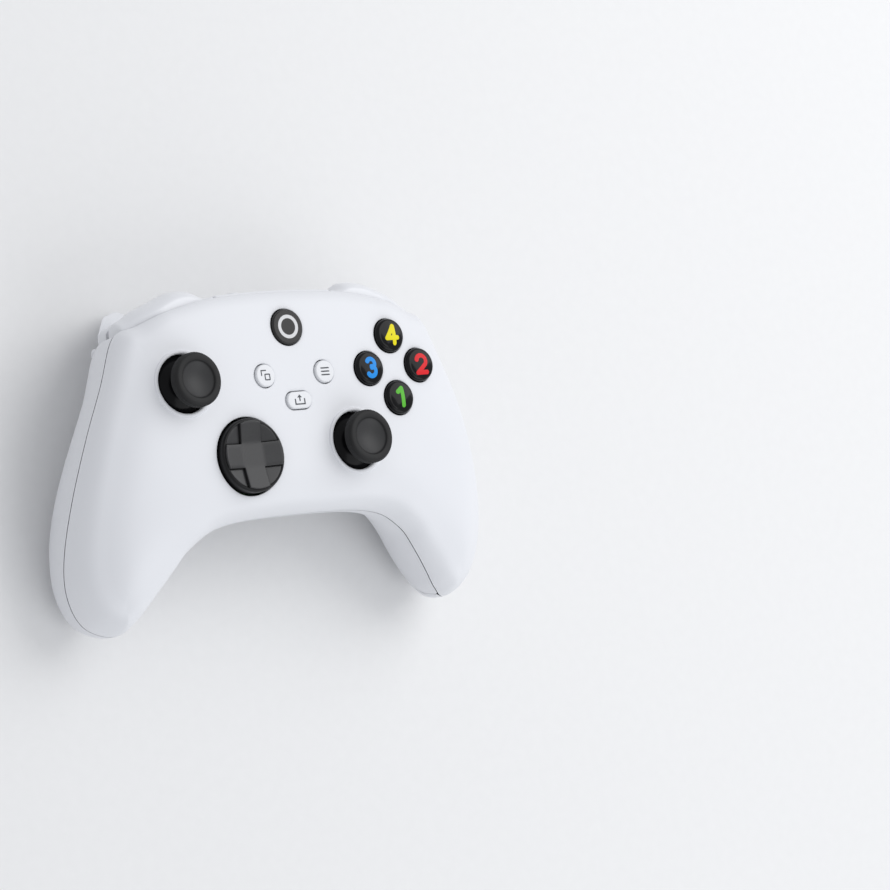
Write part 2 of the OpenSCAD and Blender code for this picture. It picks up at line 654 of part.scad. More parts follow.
module stick_cap(p) {
    top = pivot_depth + stick_h;
    r = stick_cap_d / 2;
    skirt_in = skirt_r - skirt_t;
    neck = asin(neck_r / skirt_r);
    profile = concat(
        [[stem_bore, sleeve_z], [sleeve_r, sleeve_z]],
        arc_between(skirt_in, asin(sleeve_r / skirt_in), skirt_angle),
        arc_between(skirt_r, skirt_angle, neck),
        [[neck_r, top - 4.4], [neck_r + 0.6, top - 3.9], [r - 0.7, top - 3.6], [r, top - 3], [r, top - 0.8],
         [r - 0.3, top - 0.2], [r - 0.9, top], [r - 1.6, top - 0.2], [r - 2.6, top - 0.7], [r - 4.4, top - 1.1],
         [0, top - 1.3], [0, stem_h + stick_press + 0.4], [stem_bore, stem_h + stick_press + 0.4]]);
    color(control_black) placed() at_pivot(p) rotate_extrude() polygon(profile);
}
module left_stick_base() { stick_base(left_stick); }
module right_stick_base() { stick_base(right_stick); }
module left_stick_yoke() { stick_yoke(left_stick); }
module right_stick_yoke() { stick_yoke(right_stick); }
module left_stick_rocker() { stick_rocker(left_stick); }
module right_stick_rocker() { stick_rocker(right_stick); }
module left_stick_cap() { stick_cap(left_stick); }
module right_stick_cap() { stick_cap(right_stick); }

// Direction pad: a shallow dish with a raised cross, tilting on a small rocker over a post
dpad_pivot = 3.5;
dpad_under = 2.6;
dpad_rim = 1.3;
dpad_dish = 0.2;
cross_w = 7.4;
cross_h = 3;
rocker_r = 3;
rocker_t = 1.2;
rocker_top = dpad_pivot + 0.5;
post_top = rocker_top + rocker_t + gap;
module dpad_cap() {
    r = dpad_d / 2;
    color(control_black) placed() translate([dpad_at.x, dpad_at.y, 0]) {
        rotate_extrude() polygon([
            [0, gap - rocker_top], [rocker_r, gap - rocker_top], [rocker_r, -dpad_under], [r - 0.6, -dpad_under],
            [r, 0.6 - dpad_under], [r, dpad_rim - 0.5], [r - 0.5, dpad_rim], [r - 1.4, dpad_rim], [r / 2, dpad_dish], [0, dpad_dish]]);
        intersection() {
            for (a = [0, 90]) rotate(a) translate([-dpad_d / 2, -cross_w / 2, 0]) cube([dpad_d, cross_w, cross_h]);
            rotate_extrude() polygon([[0, -past], [r - 0.9, -past], [r - 0.9, dpad_rim], [r - 1.9, cross_h], [cross_w / 2, cross_h - 0.9], [0, cross_h - 0.9]]);
        }
    }
}
module dpad_rocker() {
    color(frame_grey) placed() translate([dpad_at.x, dpad_at.y, -rocker_top - rocker_t]) cylinder(r = rocker_r, h = rocker_t);
}
module dpad_post() {
    color(frame_grey) placed() translate([dpad_at.x, dpad_at.y, -board_depth]) cylinder(d = 4.4, h = board_depth - post_top);
}

// Push buttons: a cap, a flange under the face and a plunger over its rubber dome
plunger_r = 2.6;
pad_r = 2.3;
membrane_t = 1.1;
pad_top = board_depth - 1.7;
module plunger(r, travel) {
    translate([0, 0, -flange_top - flange_t]) cylinder(r = r + flange, h = flange_t);
    translate([0, 0, travel + 0.4 - pad_top]) cylinder(r = plunger_r, h = pad_top - travel - 0.4 - flange_top);
}
module action_button(i) {
    c = action_centre(i);
    r = action_d / 2;
    color(control_black) placed() translate([c.x, c.y, 0]) {
        rotate_extrude() polygon([[0, -flange_top], [r, -flange_top], [r, button_rise - 2], [r - 0.3, button_rise - 1.2],
            [r - 1.1, button_rise - 0.6], [r - 2.6, button_rise - 0.15], [0, button_rise]]);
        plunger(r, button_travel);
    }
}
module action_bottom() { action_button(0); }
module action_right() { action_button(1); }
module action_left() { action_button(2); }
module action_top() { action_button(3); }
module round_button(p, d, shade) {
    r = d / 2;
    color(shade) placed() translate([p.x, p.y, 0]) {
        rotate_extrude() polygon([[0, -flange_top], [r, -flange_top], [r, small_rise - 0.5], [r - 0.5, small_rise - 0.1], [0, small_rise]]);
        plunger(r, small_travel);
    }
}
module home_button() { round_button(home_at, home_d, control_black); }
module view_button() { round_button([-small_x, 0], small_d, shell_white); }
module menu_button() { round_button([small_x, 0], small_d, shell_white); }
module share_button() {
    color(shell_white) placed() translate([share_at.x, share_at.y, 0]) {
        translate([0, 0, -flange_top]) pill(share_l, share_w, flange_top + small_rise);
        translate([0, 0, -flange_top - flange_t]) pill(share_l + 2 * flange, share_w + 2 * flange, flange_t);
        translate([0, 0, small_travel + 0.4 - pad_top])
            cylinder(r = plunger_r - 0.4, h = pad_top - small_travel - 0.4 - flange_top);
    }
}
guide_h = 3;
module home_light_guide() {
    r = home_d / 2 + flange + gap;
    color("#dfe6ee") placed() translate([home_at.x, home_at.y, -flange_top - gap - guide_h]) difference() {
        cylinder(r = r + 0.8, h = guide_h);
        translate([0, 0, -past]) cylinder(r = r, h = guide_h + 2 * past);
    }
}

// Boards, rubber sheet and frame
button_spots = concat([for (i = [0 : 3]) action_centre(i)], [home_at, share_at, [-small_x, 0], [small_x, 0]]);
module button_membrane() {
    reach = action_pitch + pad_r;
    color("#8b8f96") placed() translate([0, 0, -board_depth]) {
        linear_extrude(membrane_t) {
            translate([action_at.x - reach, -reach]) square(2 * reach);
            translate([-small_x - 3, -share_y - 3]) square([action_at.x + small_x - reach + 3 + past, share_y + 8]);
            translate([-6, 0]) square([12, home_y + 3]);
        }
        for (p = button_spots) translate([p.x, p.y, 0]) cylinder(r = pad_r, h = board_depth - pad_top);
    }
}
board_half = 50;
board_front = -34;
board_back = 7.5;
tail_half = 20;
tail_back = 22;
jack_front = -40.4;
jack_l = 12;
lower_half = posts[0].x - spacer_d / 2 - 0.5;
lower_front = jack_front + jack_l + past + 0.4;
module jack_notch() { translate([-jack_collar / 2 - past, jack_front]) square([jack_collar + 2 * past, jack_l + past]); }
module board_plan() {
    translate([-board_half, board_front]) square([2 * board_half, board_back - board_front]);
    translate([-tail_half - 5.5, board_front]) square([2 * tail_half + 11, posts[0].y + 3 - board_front]);
    translate([-tail_half, board_front]) square([2 * tail_half, tail_back - board_front]);
}
module screw_holes(d) {
    for (s = [-1, 1]) for (p = posts) translate([s * p.x, p.y, -face_h]) cylinder(d = d, h = face_h);
}
module main_board() {
    color(board_green) placed() difference() {
        translate([0, 0, -main_under]) linear_extrude(board_t) difference() {
            board_plan();
            jack_notch();
        }
        screw_holes(post_bore + gap);
    }
}
module lower_board() {
    color(board_green) placed() translate([-lower_half, lower_front, -lower_under])
        cube([2 * lower_half, board_back - 0.5 - lower_front, board_t]);
}
motor_at = sized([58.5, -40]);
motor_l = 12;
motor_z = plate_under + gap + motor_d / 2;
wing_in = board_half - 4;
wing_half = motor_at.x + motor_d / 2 + 0.5;
small_motor_at = [sized([40, 0]).x, pocket_y - 1.9 - small_motor_d / 2 - gap];
small_motor_l = 9;
small_motor_z = 24.6;
shaft_d = 1.3;
module mid_frame() {
    tray_depth = cell_z + 3.2;
    lug_y = pocket_y - 1.9;
    color(frame_grey) placed() difference() {
        union() {
            translate([0, 0, -plate_under]) linear_extrude(plate_t) difference() {
                union() {
                    translate([-board_half, board_front - 1.6]) square([2 * board_half, pocket_y - 0.7 - board_front + 1.6]);
                    translate([-tail_half - 6, board_front]) square([2 * tail_half + 12, tray_y1 + tray_wall - board_front]);
                    for (s = [-1, 1]) each_side(s) translate([wing_in, motor_at.y - motor_l / 2])
                        square([wing_half - wing_in, motor_l - past]);
                }
                jack_notch();
            }
            difference() {
                translate([-tray_x - tray_wall, tray_y0 - tray_wall, -tray_depth])
                    cube([2 * (tray_x + tray_wall), tray_y1 - tray_y0 + 2 * tray_wall, tray_depth - plate_top]);
                translate([-tray_x, tray_y0, -face_h]) cube([2 * tray_x, tray_y1 - tray_y0, face_h - plate_under]);
            }
            for (s = [-1, 1]) for (p = posts) translate([s * p.x, p.y, -plate_under])
                cylinder(d = spacer_d, h = plate_under - main_under);
            for (s = [-1, 1]) each_side(s) {
                translate([lug_in, lug_y, -small_motor_z - 1]) cube([16, 1.2, small_motor_z + 1 - plate_top]);
                for (x = [lug_in, lug_out]) translate([x, lug_y, -pin_depth - 3.2])
                    cube([lug_t, pin_y + 2.4 - lug_y, 6]);
                translate([lug_in, lug_y, -pin_depth - 3.2]) cube([lug_out + lug_t - lug_in, 1.2, 3.6]);
            }
        }
        screw_holes(post_bore + gap);
        for (s = [-1, 1]) for (p = posts) translate([s * p.x, p.y, -plate_under - past])
            cylinder(d = head_d + gap, h = screw_head + past);
        for (s = [-1, 1]) each_side(s) at_pin() along_x(lug_in - past, lug_out + lug_t + past, pin_d);
    }
}
module motor(d, l) {
    color(metal_grey) difference() {
        cylinder(d = d, h = l);
        translate([0, 0, l / 2]) cylinder(d = shaft_d + 2 * pin_gap, h = l);
    }
}
module weight(d, l, reach) {
    color("#8d8373") {
        difference() {
            cylinder(d = d, h = l);
            translate([-d, shaft_d, -past]) cube([2 * d, d, l + 2 * past]);
        }
        translate([0, 0, -reach]) cylinder(d = shaft_d, h = reach + l);
    }
}
module at_motor(side) {
    placed() each_side(side) translate([motor_at.x, motor_at.y + motor_l / 2, -motor_z]) rotate([90, 0, 0]) children();
}
module at_small_motor(side) {
    placed() each_side(side) translate([small_motor_at.x - small_motor_l / 2, small_motor_at.y, -small_motor_z])
        rotate([90, 0, 90]) children();
}
module left_rumble_motor() { at_motor(-1) motor(motor_d, motor_l); }
module right_rumble_motor() { at_motor(1) motor(motor_d, motor_l); }
module left_rumble_weight() { at_motor(-1) translate([0, 0, motor_l + gap]) weight(motor_d - 3, 5, motor_l / 2); }
module right_rumble_weight() { at_motor(1) translate([0, 0, motor_l + gap]) weight(motor_d - 3, 5, motor_l / 2); }
module left_trigger_motor() { at_small_motor(-1) motor(small_motor_d, small_motor_l); }
module right_trigger_motor() { at_small_motor(1) motor(small_motor_d, small_motor_l); }
module left_trigger_weight() {
    at_small_motor(-1) translate([0, 0, small_motor_l + gap]) weight(small_motor_d - 1.6, 3, small_motor_l / 2);
}
module right_trigger_weight() {
    at_small_motor(1) translate([0, 0, small_motor_l + gap]) weight(small_motor_d - 1.6, 3, small_motor_l / 2);
}

// Headset socket at the arch, with a bore for the plug
module headset_jack() {
    color(control_black) placed() translate([0, 0, -jack_depth]) difference() {
        along_y(jack_front, jack_front + jack_l, jack_collar);
        along_y(jack_front - past, jack_front + jack_l - past, jack_d);
    }
}

// Two cells with their contacts, and the screws that hold the frame to the front shell
module battery_cells() {
    color("#3c4148") placed() for (y = cell_ys) translate([0, y, -cell_z]) {
        along_x(-cell_l / 2, cell_l / 2 - 1.2, cell_d);
        along_x(0, cell_l / 2, cell_d / 3);
    }
}
module battery_contacts() {
    color(metal_grey) placed() for (s = [-1, 1]) for (y = cell_ys)
        translate([s > 0 ? tray_x - contact_t : -tray_x, y - contact_w / 2, -cell_z - contact_w / 2])
            cube([contact_t, contact_w, contact_w]);
}
module case_screws() {
    color(metal_grey) placed() for (s = [-1, 1]) for (p = posts) translate([s * p.x, p.y, -plate_under]) {
        cylinder(d = head_d, h = screw_head);
        cylinder(d = screw_d, h = plate_under - 2 * wall - past);
    }
}

front_shell();
rear_shell();
left_grip_panel();
right_grip_panel();
battery_door();
top_cap();
left_bumper();
right_bumper();
left_trigger();
right_trigger();
left_trigger_pin();
right_trigger_pin();
left_trigger_spring();
right_trigger_spring();
left_stick_base();
right_stick_base();
left_stick_yoke();
right_stick_yoke();
left_stick_rocker();
right_stick_rocker();
left_stick_cap();
right_stick_cap();
dpad_cap();
dpad_rocker();
dpad_post();
action_bottom();
action_right();
action_left();
action_top();
home_button();
view_button();
menu_button();
share_button();
pair_button();
home_light_guide();
button_membrane();
main_board();
lower_board();
mid_frame();
left_rumble_motor();
right_rumble_motor();
left_rumble_weight();
right_rumble_weight();
left_trigger_motor();
right_trigger_motor();
left_trigger_weight();
right_trigger_weight();
usb_port();
headset_jack();
battery_cells();
battery_contacts();
case_screws();
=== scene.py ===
# %% [markdown]
# # A white wireless gamepad
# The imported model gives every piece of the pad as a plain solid, with its joints. This lesson dresses
# those solids: the moulded shells, the rubber stick caps, the glossy buttons and the printed signs are
# made finer here, on the same sizes and in the same places, and each one rides on the body that it
# belongs to. Lengths in the code are millimetres; meshes are written in metres.

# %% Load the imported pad
import math

import bmesh
import bpy
import numpy as np
from mathutils import Matrix, Vector
from mathutils.geometry import delaunay_2d_cdt


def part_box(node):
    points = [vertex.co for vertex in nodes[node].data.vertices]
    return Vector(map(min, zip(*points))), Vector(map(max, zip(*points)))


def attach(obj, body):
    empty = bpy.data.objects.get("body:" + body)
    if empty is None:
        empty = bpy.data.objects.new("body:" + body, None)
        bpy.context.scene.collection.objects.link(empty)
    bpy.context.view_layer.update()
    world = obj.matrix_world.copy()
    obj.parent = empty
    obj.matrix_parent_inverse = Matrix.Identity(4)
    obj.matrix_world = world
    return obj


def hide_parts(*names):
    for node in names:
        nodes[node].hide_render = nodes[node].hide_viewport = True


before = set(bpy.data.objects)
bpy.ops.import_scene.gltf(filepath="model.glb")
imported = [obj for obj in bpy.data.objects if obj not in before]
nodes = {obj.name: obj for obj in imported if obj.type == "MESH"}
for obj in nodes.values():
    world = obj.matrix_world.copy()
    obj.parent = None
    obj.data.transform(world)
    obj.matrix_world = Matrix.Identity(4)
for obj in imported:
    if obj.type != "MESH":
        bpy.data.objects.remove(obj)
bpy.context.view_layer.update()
MM = 0.001
# The face plane and the stick row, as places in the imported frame
FACE_Z = 43.0
ROW_Y = 21.1

# %% [markdown]
# ## Small helpers for meshes
# A piece is a list of points and faces in the pad's own layout: X to the right, Y from the stick row
# towards the triggers, Z up from the face plane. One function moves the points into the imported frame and
# makes the object, so no object is ever moved, turned or scaled.

# %% Pieces


def to_frame(points):
    p = np.asarray(points, float).reshape(-1, 3)
    return (p + [0, ROW_Y, FACE_Z]) * MM


def make_piece(name, points, faces, material, smooth_deg=35):
    mesh = bpy.data.meshes.new(name)
    mesh.from_pydata(to_frame(points).tolist(), [], [tuple(int(i) for i in f) for f in faces])
    mesh.validate()
    bm = bmesh.new()
    bm.from_mesh(mesh)
    bmesh.ops.remove_doubles(bm, verts=bm.verts, dist=1e-6)
    bmesh.ops.recalc_face_normals(bm, faces=bm.faces)
    bm.to_mesh(mesh)
    bm.free()
    mesh.shade_smooth()
    mesh.set_sharp_from_angle(angle=math.radians(smooth_deg))
    mesh.materials.append(material)
    obj = bpy.data.objects.new(name, mesh)
    bpy.context.scene.collection.objects.link(obj)
    return obj


def settle(obj, body, slot, *replaced):
    """The piece rides on its body and stands for the solids that it replaces; slot is not used."""
    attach(obj, body)
    if replaced:
        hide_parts(*replaced)
    print(obj.name, "rides on", body, len(obj.data.vertices), "points")


class Soup:
    """Points and faces that are gathered from several shapes into one mesh."""

    def __init__(self):
        self.points = []
        self.faces = []

    def add(self, points, faces):
        start = len(self.points)
        self.points += [tuple(p) for p in points]
        self.faces += [tuple(start + i for i in f) for f in faces]
        return start

    def strip(self, a, b):
        """Quads between two closed loops of the same length, given as indices."""
        n = len(a)
        self.faces += [(a[i], a[(i + 1) % n], b[(i + 1) % n], b[i]) for i in range(n)]


print("face plane mm:", FACE_Z, "stick row mm:", ROW_Y)

# %% [markdown]
# ## Turned, drawn and lofted shapes
# Many pieces of a pad are of two kinds. Buttons and stick caps are turned on a lathe, and bumpers and
# triggers are lofts through sections. Both start from a line through a few marks, smooth where it has to be.
# Modifiers could do the same, but plain points keep every size in the script and leave nothing to apply.

# %% Lathe, curve and loft


def lathe(profile, centre, segments):
    """Points and faces of a profile of (radius, height) turned about an upright axis."""
    points = []
    rings = []
    turn = np.linspace(0, 2 * math.pi, segments, endpoint=False)
    for r, z in profile:
        if r < 1e-9:
            rings.append([len(points)] * segments)
            points.append((centre[0], centre[1], z))
        else:
            rings.append(list(range(len(points), len(points) + segments)))
            points += [(centre[0] + r * math.cos(a), centre[1] + r * math.sin(a), z) for a in turn]
    faces = []
    for a, b in zip(rings, rings[1:]):
        for i in range(segments):
            face = [a[i], a[(i + 1) % segments], b[(i + 1) % segments], b[i]]
            face = [v for k, v in enumerate(face) if v not in face[:k]]
            if len(face) > 2:
                faces.append(tuple(face))
    return points, faces


def spline(marks, steps, closed=False):
    """A Catmull-Rom curve through marks, in two or three dimensions."""
    m = np.asarray(marks, float)
    n = len(m)
    t = np.linspace(0, 1, steps, endpoint=False)[:, None]
    out = []
    for i in range(n if closed else n - 1):
        if closed:
            a, b, c, d = m[i - 1], m[i], m[(i + 1) % n], m[(i + 2) % n]
        else:
            b, c = m[i], m[i + 1]
            a = m[i - 1] if i > 0 else 2 * b - c
            d = m[i + 2] if i + 2 < n else 2 * c - b
        out.append(0.5 * (2 * b + (c - a) * t + (2 * a - 5 * b + 4 * c - d) * t**2
                          + (3 * b - a - 3 * c + d) * t**3))
    if not closed:
        out.append(m[-1:])
    return np.concatenate(out)


def loft(sections):
    """Points and faces through closed sections of equal length, with both ends closed."""
    n = len(sections[0])
    points = [tuple(p) for s in sections for p in s]
    faces = []
    for i in range(len(sections) - 1):
        for k in range(n):
            a = i * n + k
            b = i * n + (k + 1) % n
            faces.append((a, b, b + n, a + n))
    faces.append(tuple(range(n)))
    faces.append(tuple(range((len(sections) - 1) * n, len(sections) * n)))
    return points, faces


def sided(points, side):
    """Points of a piece for the right hand, mirrored where side is -1."""
    return np.asarray(points, float) * [side, 1, 1]


SIDES = ((-1, "left"), (1, "right"))
print("pieces come", " and ".join(word for _, word in SIDES))

# %% [markdown]
# ## Writing shaders as sums
# A finish is easier to read as an expression than as a heap of nodes. `Val` wraps a socket, so `1 - mask`
# or `grain * 0.4 + spots` adds the Math nodes by itself. `Finish` holds one material: its `node` method
# adds any node by type, settings and sockets, and its `surface` method sets the Principled shader, plain
# numbers straight on the sockets and anything that varies as a link.

# %% Shader helpers


class Val:
    """A value that varies over a surface: a socket in the tree of a finish."""

    def __init__(self, finish, socket):
        self.finish = finish
        self.socket = socket

    def math(self, operation, other=0.0, swap=False):
        pair = (other, self) if swap else (self, other)
        return self.finish.node("ShaderNodeMath", {"operation": operation}, {0: pair[0], 1: pair[1]})

    def __add__(self, other):
        return self.math("ADD", other)

    __radd__ = __add__

    def __mul__(self, other):
        return self.math("MULTIPLY", other)

    __rmul__ = __mul__

    def __sub__(self, other):
        return self.math("SUBTRACT", other)

    def __rsub__(self, other):
        return self.math("SUBTRACT", other, swap=True)

    def clamp(self):
        return self.math("MINIMUM", 1.0).math("MAXIMUM", 0.0)


class Finish:
    """One material, with the nodes that this pad's finishes need."""

    def __init__(self, name):
        self.material = bpy.data.materials.new(name)
        self.material.use_nodes = True
        self.tree = self.material.node_tree
        self.shader = self.tree.nodes["Principled BSDF"]
        self.object_coords = self.node("ShaderNodeTexCoord", {}, {}, "Object")

    def put(self, socket, value):
        if isinstance(value, Val):
            self.tree.links.new(value.socket, socket)
        else:
            socket.default_value = value

    def node(self, kind, settings, sockets, output=0):
        made = self.tree.nodes.new(kind)
        for key, value in settings.items():
            setattr(made, key, value)
        for key, value in sockets.items():
            self.put(made.inputs[key], value)
        return Val(self, made.outputs[output])

    def noise(self, scale, detail=3.0, roughness=0.55, stretch=None):
        where = self.object_coords
        if stretch:
            where = self.node("ShaderNodeMapping", {}, {"Vector": where, "Scale": stretch})
        return self.node("ShaderNodeTexNoise", {}, {"Vector": where, "Scale": scale, "Detail": detail,
                                                     "Roughness": roughness}, "Fac")

    def dots(self, scale, size):
        """Soft round spots on a loose grid, 1 in the middle of a spot and 0 between them."""
        far = self.node("ShaderNodeTexVoronoi", {"feature": "F1"},
                        {"Vector": self.object_coords, "Scale": scale, "Randomness": 0.25}, "Distance")
        return (1.0 - far * (1.0 / size)).clamp()

    def mix(self, share, a, b):
        return self.node("ShaderNodeMix", {"data_type": "RGBA"}, {0: share, 6: a, 7: b}, 2)

    def bump(self, height, strength, distance):
        return self.node("ShaderNodeBump", {}, {"Height": height, "Strength": strength,
                                                "Distance": distance}, "Normal")

    def surface(self, **sockets):
        for key, value in sockets.items():
            self.put(self.shader.inputs[key.replace("_", " ")], value)
        return self.material


def tone(r, g, b):
    return (r, g, b, 1.0)


def shade(base, share):
    """A lighter or darker tone of the same colour."""
    return tone(*(min(1.0, c * share) for c in base))


print("mid grey:", shade((1.0, 1.0, 1.0), 0.5))

# %% [markdown]
# ## White plastics
# The shells are moulded in one cool white. Close up, the mould's spark-eroded grain breaks the highlight:
# a very fine bump, with the roughness wandering a little over a few centimetres. The grips and triggers
# carry small raised dots as well, and the bumpers and the back strip are smoother. A picture of the grain
# would have to be wrapped on every piece. Noise in the object's own space needs no wrapping and no seams.

# %% White finishes


def white_plastic(name, base, rough, grain=0.35, dotted=False, coat=0.0):
    f = Finish(name)
    drift = f.noise(35.0, 2.0)
    fine = f.noise(5200.0, 2.0)
    height = fine
    colour = f.mix((drift - 0.3).clamp(), shade(base, 0.965), tone(*base))
    if dotted:
        spots = f.dots(1150.0, 0.42)
        height = fine * 0.25 + spots
        colour = f.mix(spots * 0.25, colour, shade(base, 1.04))
    return f.surface(Base_Color=colour, Roughness=drift * 0.08 + fine * 0.05 + (rough - 0.06),
                     Coat_Weight=coat, Coat_Roughness=0.25,
                     Normal=f.bump(height, grain, 0.00004 if dotted else 0.00002))


face_white = white_plastic("face_white", (0.80, 0.81, 0.84), 0.46)
back_white = white_plastic("back_white", (0.79, 0.80, 0.83), 0.48)
grip_white = white_plastic("grip_white", (0.79, 0.80, 0.83), 0.5, 0.5, dotted=True)
edge_white = white_plastic("edge_white", (0.81, 0.82, 0.85), 0.3, 0.2, coat=0.15)
trigger_white = white_plastic("trigger_white", (0.79, 0.80, 0.83), 0.44, 0.5, dotted=True)
small_white = white_plastic("small_white", (0.80, 0.81, 0.835), 0.36, 0.2)
print("white finishes:", face_white.name, grip_white.name, edge_white.name)

# %% [markdown]
# ## Blacks
# The blacks sit side by side and differ mostly in gloss: soft rubber on the stick caps, satin plastic on the
# direction pad with a duller edge, and gloss on the stick skirts, the action buttons and the home button. One
# function sets them all, so a black is a base tone, a roughness, a grain and a shine. The rubber has its own:
# the hollow of a stick is smoother than its rim, and it is painted lighter as painted light, while the rim
# and side are painted darker as painted shade.

# %% Black finishes


def black_finish(name, base, rough, grain_scale, grain, shine, coat=0.0, lift=1.5):
    f = Finish(name)
    wide = f.noise(120.0, 3.0)
    fine = f.noise(grain_scale, 2.0)
    colour = f.mix(wide, tone(*base), shade(base, lift))
    return f.surface(Base_Color=colour, Roughness=wide * 0.1 + fine * 0.06 + (rough - 0.08), Coat_Weight=coat,
                     Coat_Roughness=0.04, Specular_IOR_Level=shine, Normal=f.bump(fine, grain, 0.00003))


def stick_finish(name):
    """Dark rubber; the attribute "hollow" marks where thumbs keep it smooth, and where light is painted."""
    f = Finish(name)
    hollow = f.node("ShaderNodeAttribute", {"attribute_name": "hollow"}, {}, "Fac")
    wide = f.noise(120.0, 3.0)
    fine = f.noise(3800.0, 2.0)
    # Painted light and shade: the hollow is painted lighter (0.03), the rim, side and nubs darker (0.009)
    return f.surface(Base_Color=f.mix(hollow, tone(0.009, 0.009, 0.0095), tone(0.03, 0.03, 0.031)),
                     Roughness=wide * 0.1 + fine * 0.06 - hollow * 0.14 + 0.52, Specular_IOR_Level=0.35,
                     Normal=f.bump(fine, 0.5, 0.00003))


stick_rubber = stick_finish("stick_rubber")
skirt_gloss = black_finish("skirt_gloss", (0.003, 0.003, 0.0035), 0.2, 2500.0, 0.05, 0.12)
pad_satin = black_finish("pad_satin", (0.022, 0.022, 0.023), 0.34, 4200.0, 0.3, 0.4)
pad_edge = black_finish("pad_edge", (0.005, 0.005, 0.0055), 0.42, 4200.0, 0.2, 0.25)
action_gloss = black_finish("action_gloss", (0.003, 0.003, 0.0035), 0.14, 1500.0, 0.03, 0.16, 0.08)
home_gloss = black_finish("home_gloss", (0.022, 0.021, 0.021), 0.22, 1500.0, 0.03, 0.2, 0.05)
socket_black = black_finish("socket_black", (0.010, 0.010, 0.012), 0.5, 3000.0, 0.2, 0.4)
print("black finishes:", stick_rubber.name, pad_satin.name, action_gloss.name)

# %% [markdown]
# ## Inks and hidden materials
# The numbers on the action buttons are bright inks, and the small buttons carry grey signs. An ink could be
# painted into the finish of its button, but as a piece of its own it keeps a crisp edge. What lies inside the
# case shows only when the battery door is off or through the gaps, but each piece has its own finish: brushed
# steel, solder mask with copper traces, rubber and moulded plastics.

# %% Inks


def ink(name, base, rough=0.35):
    f = Finish(name)
    grain = f.noise(2600.0, 2.0)
    colour = f.mix(grain * 0.5, tone(*base), shade(base, 0.8))
    return f.surface(Base_Color=colour, Roughness=grain * 0.1 + (rough - 0.05), Specular_IOR_Level=0.2)


ink_green = ink("ink_green", (0.11, 0.50, 0.04))
ink_red = ink("ink_red", (0.74, 0.018, 0.025))
ink_blue = ink("ink_blue", (0.015, 0.28, 0.80))
ink_yellow = ink("ink_yellow", (0.84, 0.74, 0.008))
ink_grey = ink("ink_grey", (0.10, 0.105, 0.115), 0.5)
ink_pale = ink("ink_pale", (0.72, 0.72, 0.73))
print("inks:", ink_green.name, ink_red.name, ink_blue.name, ink_yellow.name, ink_grey.name, ink_pale.name)

# %% Inner finishes


def metal(name, base, rough, stretch):
    f = Finish(name)
    brush = f.noise(900.0, 3.0, 0.6, stretch)
    colour = f.mix(brush, shade(base, 0.8), tone(*base))
    return f.surface(Base_Color=colour, Metallic=1.0, Roughness=brush * 0.2 + (rough - 0.1),
                     Normal=f.bump(brush, 0.15, 0.00002))


def board_finish(name):
    f = Finish(name)
    traces = f.node("ShaderNodeTexBrick", {"offset": 0.4, "squash": 0.7},
                    {"Vector": f.object_coords, "Scale": 260.0, "Mortar Size": 0.028,
                     "Color1": tone(0.02, 0.10, 0.05), "Color2": tone(0.03, 0.13, 0.06),
                     "Mortar": tone(0.16, 0.26, 0.09)}, "Color")
    speck = f.noise(900.0, 3.0)
    return f.surface(Base_Color=f.mix(speck * 0.4, traces, tone(0.02, 0.07, 0.04)),
                     Roughness=speck * 0.2 + 0.2, Normal=f.bump(speck, 0.1, 0.00003))


def moulded(name, base, rough):
    f = Finish(name)
    grain = f.noise(2400.0, 3.0)
    drift = f.noise(60.0, 2.0)
    return f.surface(Base_Color=f.mix(drift, shade(base, 0.85), tone(*base)),
                     Roughness=grain * 0.15 + (rough - 0.08), Normal=f.bump(grain, 0.25, 0.00003))


steel = metal("steel", (0.60, 0.61, 0.63), 0.32, (1.0, 0.06, 1.0))
weight_metal = metal("weight_metal", (0.30, 0.28, 0.25), 0.5, (1.0, 1.0, 1.0))
board_green = board_finish("board_green")
frame_grey = moulded("frame_grey", (0.20, 0.21, 0.23), 0.55)
membrane_grey = moulded("membrane_grey", (0.32, 0.33, 0.35), 0.7)
guide_clear = moulded("guide_clear", (0.72, 0.76, 0.80), 0.3)
cell_sleeve = moulded("cell_sleeve", (0.09, 0.10, 0.11), 0.35)
print("inner finishes:", steel.name, board_green.name, frame_grey.name)

# %% [markdown]
# ## Lines in plan
# The face of a pad is a flat layout, so nearly everything starts as a line seen from above: the outline, the
# holes, the seams. Curve objects could hold them, but arrays of points can be joined, measured and tested for
# what lies inside, which the skins need later.

# %% Lines in plan


def mirrored(chain):
    """The same plan points on the other side of the middle."""
    return np.asarray(chain, float) * [-1, 1]


def run_along(p):
    """The distance along a line at each of its points."""
    return np.concatenate([[0], np.cumsum(np.linalg.norm(np.diff(p, axis=0), axis=1))])


def resample(line, spacing, closed=True):
    """Points at an even spacing along a line."""
    p = np.asarray(line, float)
    if closed:
        p = np.vstack([p, p[:1]])
    run = run_along(p)
    count = max(3, int(round(run[-1] / spacing)))
    at = np.linspace(0, run[-1], count, endpoint=not closed)
    return np.column_stack([np.interp(at, run, p[:, k]) for k in range(p.shape[1])])


def plan_circle(centre, radius, count):
    a = np.linspace(0, 2 * math.pi, count, endpoint=False)
    return np.column_stack([centre[0] + radius * np.cos(a), centre[1] + radius * np.sin(a)])


def pill_loop(centre, length, width, count=64):
    a = np.linspace(0, 2 * math.pi, count, endpoint=False)
    side = np.where(np.cos(a) >= 0, 1, -1) * (length - width) / 2
    return np.column_stack([centre[0] + side + width / 2 * np.cos(a), centre[1] + width / 2 * np.sin(a)])


def arc(centre, radius, start, end, count=12):
    a = np.radians(np.linspace(start, end, count))
    return np.column_stack([centre[0] + radius * np.cos(a), centre[1] + radius * np.sin(a)])


def straight(a, b, spacing=0.8):
    return resample(np.array([a, b], float), spacing, closed=False)


